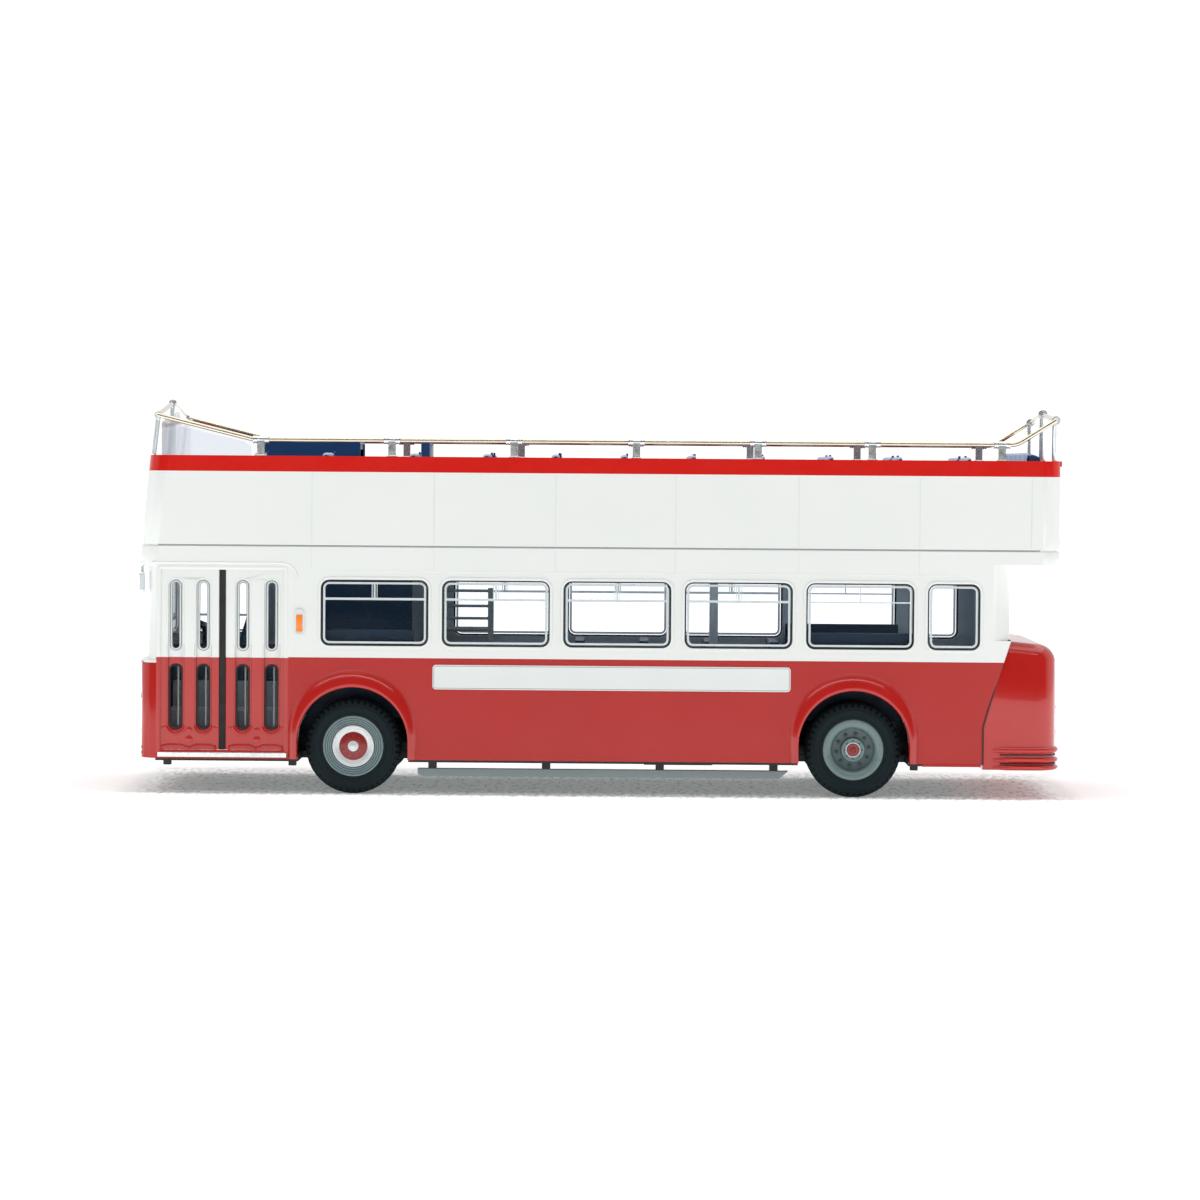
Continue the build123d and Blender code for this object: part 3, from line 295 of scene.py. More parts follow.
floorValues = {
    "wide": 900.0,
    "near": -560.0,
    "far": 900.0,
    "fibre": 0.7,  # width of its fibres, really 0.05 mm, drawn coarser to show
    "fibreRun": (1, 0.24, 1),  # draws them out along Y
    # dark grey-green fibres and white; the dark fibres only show in the box under the model, as a painted
    # shadow
    "tones": ("AFB9B6", "FFFFFF"),
    "shadeX": (57, 64),  # half width of the painted mottled shadow, from where it fades to where it ends
    "shadeY": (18, 26),  # the same for its back edge
    "glow": (0.24, 0.85),  # painted glow from below, weaker under the model so its shadow stays, and stronger away from it
    "glowFrom": (75, 160),  # distances from the middle between which it rises
    "glowFront": (-15.0, -18.2),  # the same in front of the model, where the stronger glow cuts off the shadow's front edge
    "glowMottle": (0.8, 1.08),
}


def addCamera(values):
    camera = bpy.data.cameras.new("studioCamera")
    camera.lens = values["lens"]
    camera.sensor_width = values["sensor"]
    camera.clip_start = 0.01
    camera.clip_end = 20
    thing = bpy.data.objects.new("studioCamera", camera)
    bpy.context.scene.collection.objects.link(thing)
    level = Matrix.Rotation(math.radians(90 + values["pitch"]), 4, "X")
    turn = Matrix.Rotation(math.radians(values["turn"]), 4, "Z")
    roll = Matrix.Rotation(math.radians(values["roll"]), 4, "Z")
    thing.matrix_world = Matrix.Translation(Vector(values["place"]) * mm) @ turn @ level @ roll
    bpy.context.scene.camera = thing


def addAreaLight(name, values):
    light = bpy.data.lights.new(name, "AREA")
    light.shape = "RECTANGLE"
    light.size, light.size_y = (v * mm for v in values["size"])
    light.energy = values["watts"]
    thing = bpy.data.objects.new(name, light)
    thing.visible_camera = False
    thing.visible_glossy = values["glossy"]
    bpy.context.scene.collection.objects.link(thing)
    start, aim = Vector(values["place"]) * mm, Vector(values["aim"]) * mm
    thing.rotation_euler = (aim - start).to_track_quat("-Z", "Y").to_euler()
    thing.location = start


def addFloor(values):
    # White light-table card, lit from above and by its own glow from below. The glow is painted by place:
    # weaker under the model so its shadow stays, stronger away from it and just in front of it. Its dark
    # fibres are painted only in a box under the model, a mottled painted shadow.
    card, tree, shader, place = newMaterial("whiteCard")
    (x0, x1), (y0, y1) = values["shadeX"], values["shadeY"]
    along = addNode(tree, "Mapping", {"Vector": place, "Scale": values["fibreRun"]})
    fibres = addNode(tree, "TexNoise", lumps(along, values["fibre"], 3.0, 0.6), "Fac")
    x, y = addNode(tree, "SeparateXYZ", {"Vector": place}).node.outputs[:2]
    aside = addNode(tree, "Math", {0: x}, operation="ABSOLUTE")
    beside = addNode(tree, "MapRange", {0: aside, 1: x0 * mm, 2: x1 * mm})
    behind = addNode(tree, "MapRange", {0: y, 1: y0 * mm, 2: y1 * mm})
    outsideShadow = addNode(tree, "Math", {0: beside, 1: behind}, operation="MAXIMUM")
    shadowMottle = addNode(tree, "MapRange", {0: fibres, 1: 0.34, 2: 0.60})
    shadowMottle = addNode(tree, "Math", {0: shadowMottle, 1: outsideShadow}, operation="MAXIMUM")
    dark, light = (linear(code) for code in values["tones"])
    colour = addNode(tree, "Mix", {0: shadowMottle, 6: dark, 7: light}, 2, data_type="RGBA")
    away = addNode(tree, "VectorMath", {0: place}, "Value", operation="LENGTH")
    under, far = values["glow"]
    (a0, a1), (f0, f1), (m0, m1) = values["glowFrom"], values["glowFront"], values["glowMottle"]
    glow = addNode(tree, "MapRange", {0: away, 1: a0 * mm, 2: a1 * mm, 3: under, 4: far})
    front = addNode(tree, "MapRange", {0: y, 1: f0 * mm, 2: f1 * mm, 3: under, 4: far})
    glow = addNode(tree, "Math", {0: glow, 1: front}, operation="MAXIMUM")
    uneven = addNode(tree, "MapRange", {0: shadowMottle, 3: m0, 4: m1})
    setInputs(shader, {
        "Roughness": 0.9,
        "Specular IOR Level": 0.2,
        "Emission Color": linear("F1F6F5"),
        "Emission Strength": addNode(tree, "Math", {0: glow, 1: uneven}, operation="MULTIPLY"),
        "Base Color": colour,
        "Normal": addNode(tree, "Bump", {"Distance": 0.015 * mm, "Height": fibres}),
    })
    bm = bmesh.new()
    edges = [[(x, values[end], 0) for x in (-values["wide"], values["wide"])] for end in ("near", "far")]
    addGrid(bm, edges, closedRing=False)
    floor = addObject("floorCard", bm, [card])


def addSky(values):
    # white all round, with a dim warm room behind the camera for the metal to reflect
    world = bpy.data.worlds.new("studio")
    bpy.context.scene.world = world
    world.use_nodes = True
    tree = world.node_tree
    grey = {name: [values[name]] * 3 + [1.0] for name in ("sky", "mirrored", "backdrop")}
    place = addNode(tree, "TexCoord", output="Generated")
    y, z = addNode(tree, "SeparateXYZ", {"Vector": place}).node.outputs[1:]
    before = addNode(tree, "MapRange", {0: y, 1: -0.15, 2: -0.45})
    below = addNode(tree, "MapRange", {0: z, 1: values["roomTop"], 2: values["roomTop"] - 0.2})
    matt = addNode(tree, "LightPath", output="Is Diffuse Ray")
    seen = matt.node.outputs["Is Camera Ray"]
    inRoom = addNode(tree, "Math", {0: before, 1: below}, operation="MULTIPLY")
    shiny = addNode(tree, "Math", {0: 1.0, 1: matt}, operation="SUBTRACT")
    inRoom = addNode(tree, "Math", {0: inRoom, 1: shiny}, operation="MULTIPLY")
    sky = addNode(tree, "Mix", {0: matt, 6: grey["mirrored"], 7: grey["sky"]}, 2, data_type="RGBA")
    lit = addNode(tree, "Mix", {0: inRoom, 6: sky, 7: (*values["room"], 1.0)}, 2, data_type="RGBA")
    shown = addNode(tree, "Mix", {0: seen, 6: lit, 7: grey["backdrop"]}, 2, data_type="RGBA")
    setInputs(tree.nodes["Background"], {"Color": shown})


addCamera(cameraValues)
for name in ("top", "strip", "saloon"):
    addAreaLight(name + "Light", lightValues[name])
addSky(lightValues)
bpy.context.scene.view_settings.view_transform = "Standard"
addFloor(floorValues)
print("stage set")


# Materials
paintValues = {
    "waist": 17.9,  # height of the line between red and white
    "frontWaist": 17.05,  # the line on the front panel, ahead of frontEdge
    "frontEdge": -57.4,
    "bandFoot": 42.05,
    "innerWall": 15.02,  # the castings are bare metal inside this half width
    "innerX": (-53.5, 52.45),
    "innerTop": 32.2,
    "white": ("E4E6E4", "E9EAE8"),
    "red": ("A81D19", "B4211C"),
    # the band is given a brighter red than the lower panels: painted light on its upward face
    "litBand": ("C6150E", "D0190F"),
    "metal": "B4C3CB",
    "roughness": (0.17, 0.24),
}


def cloudyTone(tree, place, size, detail, tones):
    # a colour that drifts between two tones in clouds of about size mm
    clouds = addNode(tree, "TexNoise", lumps(place, size, detail), "Fac")
    return addNode(tree, "Mix", {0: clouds, 6: linear(tones[0]), 7: linear(tones[1])}, 2, data_type="RGBA")


def handled(tree, place, size, low, high):
    # a roughness that drifts from low to high in patches of about size mm
    patches = addNode(tree, "TexNoise", lumps(place, size, 3.0), "Fac")
    return addNode(tree, "MapRange", {0: patches, 1: 0.3, 2: 0.7, 3: low, 4: high})


def enamelFinish(tree, shader, place, colour, coat, coatRoughness, specular, bare=None):
    # Sprayed enamel on die-cast zinc: a thin gloss coat with a faint orange peel and fine
    # dust nibs, which keep its reflections from looking like glass. Their real 0.5 mm and
    # 0.1 mm are drawn at 0.9 mm and 0.22 mm to show. There is none where the metal is bare.
    peel = addNode(tree, "TexNoise", lumps(place, 0.9, 1.0), "Fac")
    nibs = addNode(tree, "TexNoise", lumps(place, 0.22, 1.0), "Fac")
    nibs = addNode(tree, "MapRange", {0: nibs, 1: 0.70, 2: 0.78})
    nibs = addNode(tree, "Math", {0: nibs, 1: 0.6}, operation="MULTIPLY")
    height = addNode(tree, "Math", {0: peel, 1: nibs}, operation="ADD")
    if bare:
        painted = addNode(tree, "Math", {0: 1.0, 1: bare}, operation="SUBTRACT")
        height = addNode(tree, "Math", {0: height, 1: painted}, operation="MULTIPLY")
    setInputs(shader, {
        "Base Color": colour,
        "Coat Weight": coat,
        "Coat Roughness": coatRoughness,
        "Specular IOR Level": specular,
        "Normal": addNode(tree, "Bump", {"Distance": 0.006 * mm, "Height": height}),
        "Roughness": handled(tree, place, 5.0, *paintValues["roughness"]),
    })


def twoToneEnamel():
    # White over red enamel on the lower casting, sprayed through masks: a crisp line at
    # the waist, and bare grey zinc left inside.
    material, tree, shader, place = newMaterial("enamelTwoTone")
    v = paintValues
    x, y, z = addNode(tree, "SeparateXYZ", {"Vector": place}).node.outputs
    ahead = addNode(tree, "Math", {0: x, 1: v["frontEdge"] * mm}, operation="LESS_THAN")
    line = addNode(tree, "MapRange", {0: ahead, 3: v["waist"] * mm, 4: v["frontWaist"] * mm})
    above = addNode(tree, "Math", {0: z, 1: line}, operation="SUBTRACT")
    above = addNode(tree, "MapRange", {0: above, 1: -0.02 * mm, 2: 0.02 * mm})
    whiteTone, redTone = (cloudyTone(tree, place, 14.0, 3.0, v[name]) for name in ("white", "red"))
    coat = addNode(tree, "Mix", {0: above, 6: redTone, 7: whiteTone}, 2, data_type="RGBA")
    half = addNode(tree, "Math", {0: y}, operation="ABSOLUTE")
    inside = addNode(tree, "Math", {0: half, 1: v["innerWall"] * mm}, operation="LESS_THAN")
    front, back = v["innerX"]
    walls = (("GREATER_THAN", x, front), ("LESS_THAN", x, back), ("LESS_THAN", z, v["innerTop"]))
    for test, value, limit in walls:
        within = addNode(tree, "Math", {0: value, 1: limit * mm}, operation=test)
        inside = addNode(tree, "Math", {0: inside, 1: within}, operation="MULTIPLY")
    colour = addNode(tree, "Mix", {0: inside, 6: coat, 7: linear(v["metal"])}, 2, data_type="RGBA")
    enamelFinish(tree, shader, place, colour, 0.15, 0.08, 0.35, inside)
    return material


def bandedEnamel():
    # The upper casting: white enamel with a printed red band round the top. The band's red is a brighter copy
    # of the lower panels' red, painted light for its face turned up to the top light.
    material, tree, shader, place = newMaterial("enamelBanded")
    foot = paintValues["bandFoot"]
    z = addNode(tree, "SeparateXYZ", {"Vector": place}, "Z")
    above = addNode(tree, "MapRange", {0: z, 1: (foot - 0.02) * mm, 2: (foot + 0.02) * mm})
    whiteTone = cloudyTone(tree, place, 14.0, 3.0, paintValues["white"])
    litBandTone = cloudyTone(tree, place, 2.0, 3.0, paintValues["litBand"])
    colour = addNode(tree, "Mix", {0: above, 6: whiteTone, 7: litBandTone}, 2, data_type="RGBA")
    enamelFinish(tree, shader, place, colour, 0.1, 0.08, 0.3)
    return material


def plainEnamel(name, tones, lowTone=None, coat=0.4):
    # Enamel of the separate castings; lowTone is the tone below the waist of the doors.
    material, tree, shader, place = newMaterial(name)
    colour = cloudyTone(tree, place, 10.0, 3.0, tones)
    if lowTone:
        line = paintValues["waist"] - 0.1
        z = addNode(tree, "SeparateXYZ", {"Vector": place}, "Z")
        above = addNode(tree, "MapRange", {0: z, 1: (line - 0.02) * mm, 2: (line + 0.02) * mm})
        colour = addNode(tree, "Mix", {0: above, 6: linear(lowTone), 7: colour}, 2, data_type="RGBA")
    enamelFinish(tree, shader, place, colour, coat, 0.05, 0.5)
    return material


def mouldedPlastic(name, dark, light, roughness, extra=None):
    # Injection-moulded styrene or ABS, self-coloured: satin from the spark-eroded mould,
    # whose 0.1 mm grain, drawn at 0.35 mm to show, breaks up the highlights.
    material, tree, shader, place = newMaterial(name)
    grain = addNode(tree, "TexNoise", lumps(place, 0.35), "Fac")
    setInputs(shader, {
        "IOR": 1.53,
        "Base Color": cloudyTone(tree, place, 6.0, 4.0, (dark, light)),
        "Roughness": handled(tree, place, 1.5, roughness * 0.85, roughness * 1.15),
        "Normal": addNode(tree, "Bump", {"Distance": 0.01 * mm, "Height": grain}),
        **(extra or {}),
    })
    return material


def platedMetal(name, dark, light, roughness, extra=None):
    # Vacuum-plated or polished bright metal: cloudy handling marks and faint draw lines along
    # X, which break its reflections up. The lines are really 0.02 mm apart, drawn at 0.25 mm.
    material, tree, shader, place = newMaterial(name)
    along = addNode(tree, "Mapping", {"Vector": place, "Scale": (0.1, 1, 1)})
    lines = addNode(tree, "TexNoise", lumps(along, 0.25), "Fac")
    setInputs(shader, {
        "Metallic": 1.0,
        "Base Color": cloudyTone(tree, place, 2.5, 4.0, (dark, light)),
        "Roughness": handled(tree, place, 0.8, roughness * 0.7, roughness * 1.3),
        "Normal": addNode(tree, "Bump", {"Distance": 0.004 * mm, "Height": lines}),
        **(extra or {}),
    })
    return material


def clearPlastic(name, ior):
    # Clear polystyrene mouldings: nearly invisible face on, bright at grazing angles, with
    # faint flow waves in what they reflect.
    material, tree, shader, place = newMaterial(name)
    flow = addNode(tree, "TexNoise", lumps(place, 6.0, 1.0), "Fac")
    wave = addNode(tree, "Bump", {"Distance": 0.01 * mm, "Height": flow})
    sheen = addNode(tree, "Fresnel", {"IOR": ior, "Normal": wave})
    share = addNode(tree, "Math", {0: sheen, 1: 0.8}, operation="MULTIPLY")
    through = addNode(tree, "BsdfTransparent", {"Color": linear("F7F8FA")})
    setInputs(shader, {"Base Color": linear("FFFFFF"), "Metallic": 1.0, "Roughness": 0.03, "Normal": wave})
    both = addNode(tree, "MixShader", {0: share, 1: through, 2: shader.outputs[0]})
    setInputs(tree.nodes["Material Output"], {"Surface": both})
    return material


def tyreRubber():
    # Moulded synthetic rubber, matt blue-black, dusted lighter in patches where it is
    # handled; the mould's 0.05 mm grain is drawn at 0.15 mm.
    material, tree, shader, place = newMaterial("rubberMoulded")
    dust = addNode(tree, "TexNoise", lumps(place, 1.2, 4.0), "Fac")
    grain = addNode(tree, "TexNoise", lumps(place, 0.15), "Fac")
    dark, light = linear("0B171A"), linear("16252A")
    setInputs(shader, {
        "Specular IOR Level": 0.2,
        "Base Color": addNode(tree, "Mix", {0: dust, 6: dark, 7: light}, 2, data_type="RGBA"),
        "Roughness": addNode(tree, "MapRange", {0: dust, 1: 0.3, 2: 0.7, 3: 0.55, 4: 0.75}),
        "Normal": addNode(tree, "Bump", {"Distance": 0.01 * mm, "Height": grain}),
    })
    return material


def lens(name, dark, light):
    # Moulded acrylic tinted in the mass: a deep colour under a clear gloss, with the swell
    # of a lens. One wave of the texture is pi / 10 long at scale 1.
    material, tree, shader, place = newMaterial(name)
    pitch = 1.9635
    waves = {"Vector": place, "Scale": math.pi / 10 / (pitch * mm)}
    ribs = addNode(tree, "TexWave", waves, "Fac", bands_direction="Z")
    setInputs(shader, {
        "Roughness": 0.12,
        "IOR": 1.49,
        "Coat Weight": 0.5,
        "Coat Roughness": 0.03,
        "Base Color": cloudyTone(tree, place, 0.4, 2.0, (dark, light)),
        "Normal": addNode(tree, "Bump", {"Distance": 0.02 * mm, "Height": ribs}),
    })
    return material


dull, dimmer, coated = {"Specular IOR Level": 0.3}, {"Specular IOR Level": 0.35}, {"Coat Weight": 0.2}
# A faint glow on the printed silver: painted light, standing in for light coming through the thin ink from
# behind. It also keeps the mirrors and end stanchions pale, a painted glare.
paintedBacklight = {"Emission Color": linear("E6ECEE"), "Emission Strength": 0.16}
paint = {
    "lowerShell": twoToneEnamel(),
    "upperShell": bandedEnamel(),
    "red": plainEnamel("enamelRed", paintValues["red"]),
    "cover": plainEnamel("enamelCoverRed", ("AE100B", "BA150E"), coat=0.5),
    "doors": plainEnamel("enamelDoors", paintValues["white"], "B4211C"),
    "white": plainEnamel("enamelWhite", paintValues["white"]),
    "black": mouldedPlastic("styreneBlack", "131617", "1B1F20", 0.5),
    "grey": mouldedPlastic("styreneGrey", "7D8D8F", "8A999B", 0.45),
    "greyPale": mouldedPlastic("styreneGreyPale", "A2B0B5", "AEBBC0", 0.45),
    "navy": mouldedPlastic("styreneNavy", "154576", "1A5389", 0.38, dimmer),
    # a darker copy of the navy moulding: painted shade on the lower deck, whose wheel boxes show in the
    # arches, and on the staircase
    "navyShaded": mouldedPlastic("styreneNavyShaded", "08293F", "0A3450", 0.45, dull),
    "navyInside": mouldedPlastic("styreneNavyInside", "093C5C", "0C476C", 0.42, dull),
    # a lighter copy of the navy seat plastic for the cushions and backs: painted top light
    "blueLitTop": mouldedPlastic("styreneBlueLitTop", "A0B6DA", "AFC3E2", 0.38),
    "palePrint": mouldedPlastic("inkWhite", "DDE1E0", "E4E7E6", 0.35),
    # grey print, and the painted shade lines down the upper door channels
    "greyInkAndShade": mouldedPlastic("inkGreyAndShade", "828887", "8F9594", 0.4),
    "seam": mouldedPlastic("enamelRecess", "D3D6D4", "DADCDA", 0.5),
    # dark red for the joint round the engine cover, and for painted shade lines between its ribs and down the
    # red part of the door channels
    "redSeamAndShade": mouldedPlastic("enamelRedSeamAndShade", "4E110F", "5A1512", 0.5),
    "darkGap": mouldedPlastic("elastomerBlack", "100D0C", "1A1614", 0.7),
    "hubGrey": mouldedPlastic("enamelHubGrey", "6A7E81", "758A8D", 0.3, coated),
    # darker grey for the recessed dish of the rear hubs: painted shade
    "hubDishShade": mouldedPlastic("enamelHubDishShade", "4D5D60", "596A6D", 0.35),
    # darker grey for the nuts on the rear hubs: painted shade, standing in for the shade round their holes
    "hubNutShade": mouldedPlastic("enamelHubNutShade", "364447", "3F4D50", 0.35),
    "hubGreyLight": mouldedPlastic("enamelHubPale", "64787A", "6F8486", 0.3, coated),
    "hubSilver": mouldedPlastic("silverSprayed", "D8DDDF", "E4E8EA", 0.32, {"Metallic": 0.3}),
    "hubRed": mouldedPlastic("enamelHubRed", "841815", "961D1A", 0.3, {"Coat Weight": 0.3}),
    "chrome": platedMetal("nickelPolished", "DEDBD2", "F2F2EE", 0.12),
    "silver": platedMetal("silverPlated", "D6DADB", "EDF0F0", 0.24),
    "wire": platedMetal("nickelWire", "C5BCA6", "DDD7C8", 0.10),
    "steel": platedMetal("steelDrawn", "8B9091", "A8ACAD", 0.3),
    "silverInkAndGlow": platedMetal("silverPrintedAndGlow", "C9CFD1", "DDE2E4", 0.38, paintedBacklight),
    "rubber": tyreRubber(),
    "clear": clearPlastic("polystyreneClear", 1.15),
    "clearSheet": clearPlastic("acetateClear", 1.06),
    "lampGlass": lens("acrylicClear", "A4B0B2", "C6D0D1"),
    "amber": lens("acrylicAmber", "F07A0A", "FF8A12"),
    "ruby": lens("acrylicRuby", "5E0605", "7E0908"),
}
print("materials made")


# Carried-over CAD nodes: their finish, and how far their cast or moulded edges are rounded
cadFinish = {
    "lower_body": ("lowerShell", 0.10),
    "upper_body": ("upperShell", 0.10),
    "engine_cover": ("cover", 0.10),
    "entrance_doors": ("doors", 0.10),
    "chassis": ("black", 0.08),
    "door_seal": ("darkGap", 0.05),
    "guard_rails": ("grey", 0.10),
    "entrance_steps": ("greyPale", 0.06),
    "support_post": ("greyPale", 0.0),
    "lower_deck": ("navyShaded", 0.08),
    "lower_seats": ("navyInside", 0.15),
    "staircase": ("navyShaded", 0.10),
    "stair_guard": ("grey", 0.0),
    "driver_seat": ("navyInside", 0.15),
    "dashboard": ("navyInside", 0.15),
    "steering_wheel": ("black", 0.0),
    "destination_display": ("black", 0.0),
    "upper_deck": ("navy", 0.05),
    "upper_seats": ("navy", 0.12),
    "seat_pads": ("blueLitTop", 0.12),
    "rear_bench": ("navy", 0.20),
    "stair_hood": ("navy", 0.15),
    "nearside_glazing": ("clear", 0.0),
    "offside_glazing": ("clear", 0.0),
    "windscreen": ("clear", 0.0),
    "rear_window": ("clear", 0.0),
    "door_glazing": ("clear", 0.0),
    "front_screen": ("clearSheet", 0.0),
    "side_rails": ("wire", 0.0),
    "end_rails": ("wire", 0.0),
    "rail_stanchions": ("silver", 0.06),
    # the end stanchions and the mirrors glow faintly with the printed silver: painted glare
    "end_stanchions": ("silverInkAndGlow", 0.05),
    "step_strip": ("silver", 0.05),
    "mirrors": ("silverInkAndGlow", 0.08),
    "headlights": ("chrome", 0.05),
    "tail_lights": ("ruby", 0.08),
    "side_indicators": ("palePrint", 0.08),
    "front_axle": ("steel", 0.0),
    "rear_axle": ("steel", 0.0),
}
for end in ("front", "rear"):
    for hand in sides:
        cadFinish[f"{hand}_{end}_tyre"] = ("rubber", 0.0)
        cadFinish[f"{hand}_{end}_hub"] = ("hubGrey", 0.0)


def finishNode(name, finish, rounding):
    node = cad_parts[name]
    node.data.materials.clear()
    node.data.materials.append(paint[finish])
    if rounding:
        weld = node.modifiers.new("weld", "WELD")
        weld.merge_threshold = 0.0005 * mm
        edges = node.modifiers.new("round", "BEVEL")
        edges.width = rounding * mm
        edges.segments = 2
        edges.limit_method = "ANGLE"
        edges.angle_limit = math.radians(40)
        edges.harden_normals = True
        edges.miter_outer = "MITER_ARC"


for name, (finish, rounding) in cadFinish.items():
    finishNode(name, finish, rounding)
print("castings and mouldings finished")


# Side windows: a raised rim round each opening, a black gasket, the silver line printed
# on the clear moulding, and the sliding vents' bar and mullion.
windowValues = {
    "middle": 23.75,
    "height": 8.7,
    "corner": 1.15,
    "first": -29.195,  # middle of the first large window
    "pitch": 15.79,
    "count": 5,
    "width": 14.11,
    "quarterX": 46.15,
    "quarterWidth": 6.9,
    "cabX": -51.9,
    "cabWidth": 9.0,
    "wall": 16.2,
    "pane": 16.1,
    "rim": 0.36,
    "rimHeight": 0.15,
    "gasket": 0.24,
    "line": 0.30,
    "lineInset": 0.34,
    "bars": {"vent": (25.56, 0.30), "thinVent": (25.56, 0.18), "cab": (22.0, 0.30)},  # height and width
    # the uprights above the bar, (from the middle, width)
    "mullions": {"vent": ((0.0, 0.24), (-0.32, 0.1), (0.32, 0.1)), "thinVent": ((0.0, 0.14),), "cab": ()},
}


def windowList(side):
    # (middle, width, kind) of the windows on one side
    v = windowValues
    large = [(v["first"] + i * v["pitch"], v["width"], "vent") for i in range(v["count"] - 1)]
    large.append((v["first"] + (v["count"] - 1) * v["pitch"], v["width"], "thinVent"))
    if side > 0:
        large[0] = (v["cabX"], v["cabWidth"], "cab")
    return large + [(v["quarterX"], v["quarterWidth"], "plain")]


def addWindows(hand, side):
    v = windowValues
    rims, gaskets, lines = (bmesh.new() for _ in range(3))
    wall, pane = onSide(side * v["wall"]), onSide(side * v["pane"])
    for x, width, kind in windowList(side):
        wide, high = width + 2 * v["rim"], v["height"] + 2 * v["rim"]
        outer = roundedRect(x, v["middle"], wide, high, v["corner"] + v["rim"])
        addFrame(rims, outer, wall, rimProfile(v["rim"] + 0.04, v["rimHeight"]))
        opening = roundedRect(x, v["middle"], width, v["height"], v["corner"])
        addFrame(gaskets, opening, pane, bandProfile(v["gasket"], 0.06))
        addFrame(lines, insetLoop(opening, v["lineInset"]), pane, bandProfile(v["line"], 0.05))
        if kind == "plain":
            continue
        half = width / 2 - v["lineInset"] - v["line"] / 2
        head = v["middle"] + v["height"] / 2 - v["lineInset"]
        level, wide = v["bars"][kind]
        addPlate(lines, strip((x - half, level), (x + half, level), wide), pane, -0.02, 0.1, 0.03)
        for dx, wide in v["mullions"][kind]:
            addPlate(lines, strip((x + dx, level), (x + dx, head), wide), pane, -0.02, 0.08, 0.03)
    makePiece(f"{hand}_window_rims", rims, paint["white"])
    makePiece(f"{hand}_window_gaskets", gaskets, paint["black"])
    makePiece(f"{hand}_window_lines", lines, paint["silverInkAndGlow"])


for hand, side in sides.items():
    addWindows(hand, side)
print("side windows trimmed")


# Entrance doors: silver edging in the upper lights, black in the lower ones, the mouldings
# under them and the tread edge above the step.
doorValues = {
    "columns": (-55.1, -51.5, -46.35, -42.6),
    "leaves": ((-57.3, -49.5), (-48.5, -40.7)),
    "face": 16.05,
    "floor": 15.75,  # bottom of the channels
    "rail": 15.3,  # the handrails behind the lower lights
    "upper": (18.7, 27.8, 1.4),  # foot, head, width
    "lower": (8.4, 16.9, 1.8),
    "channel": (8.1, 28.1, 2.1),
    "edges": (-1.08, 1.08),  # of a channel, where the shadow lines run
    "upperShade": (17.95, 19.5),
    "lowerShade": (8.7, 17.6),
    "frame": 0.24,
    "lip": ((-0.12, -0.05), (-0.08, 0.03), (0.0, 0.07), (0.1, 0.03), (0.12, -0.05)),
    "scallop": (9.25, 1.32, 1.45),  # height of its middle, half width and depth
    "buttons": ((8.35, 0.42), (7.1, 0.5)),  # height, radius
    "button": ((0.05, 1.0), (-0.05, 0.9), (-0.13, 0.55), (-0.16, 0.0)),  # along Y, share of the radius
    "rollEnd": ((0.35, 5.75), (0.5, 6.15), (1.2, 6.32)),  # from the leaf's edge, height
    "rollDip": (0.9, 5.95),  # half width, height
    "tread": (-49.0, 5.62, 15.3, 0.34, 0.12),  # X, Z, width, height, corner
    "aperture": (-57.4, -40.6, 5.4, 29.6),
    "wall": 16.12,
}


def slotOutline(x, foot, head, width):
    return roundedRect(x, (foot + head) / 2, width, head - foot, width / 2 - 0.001, 8)


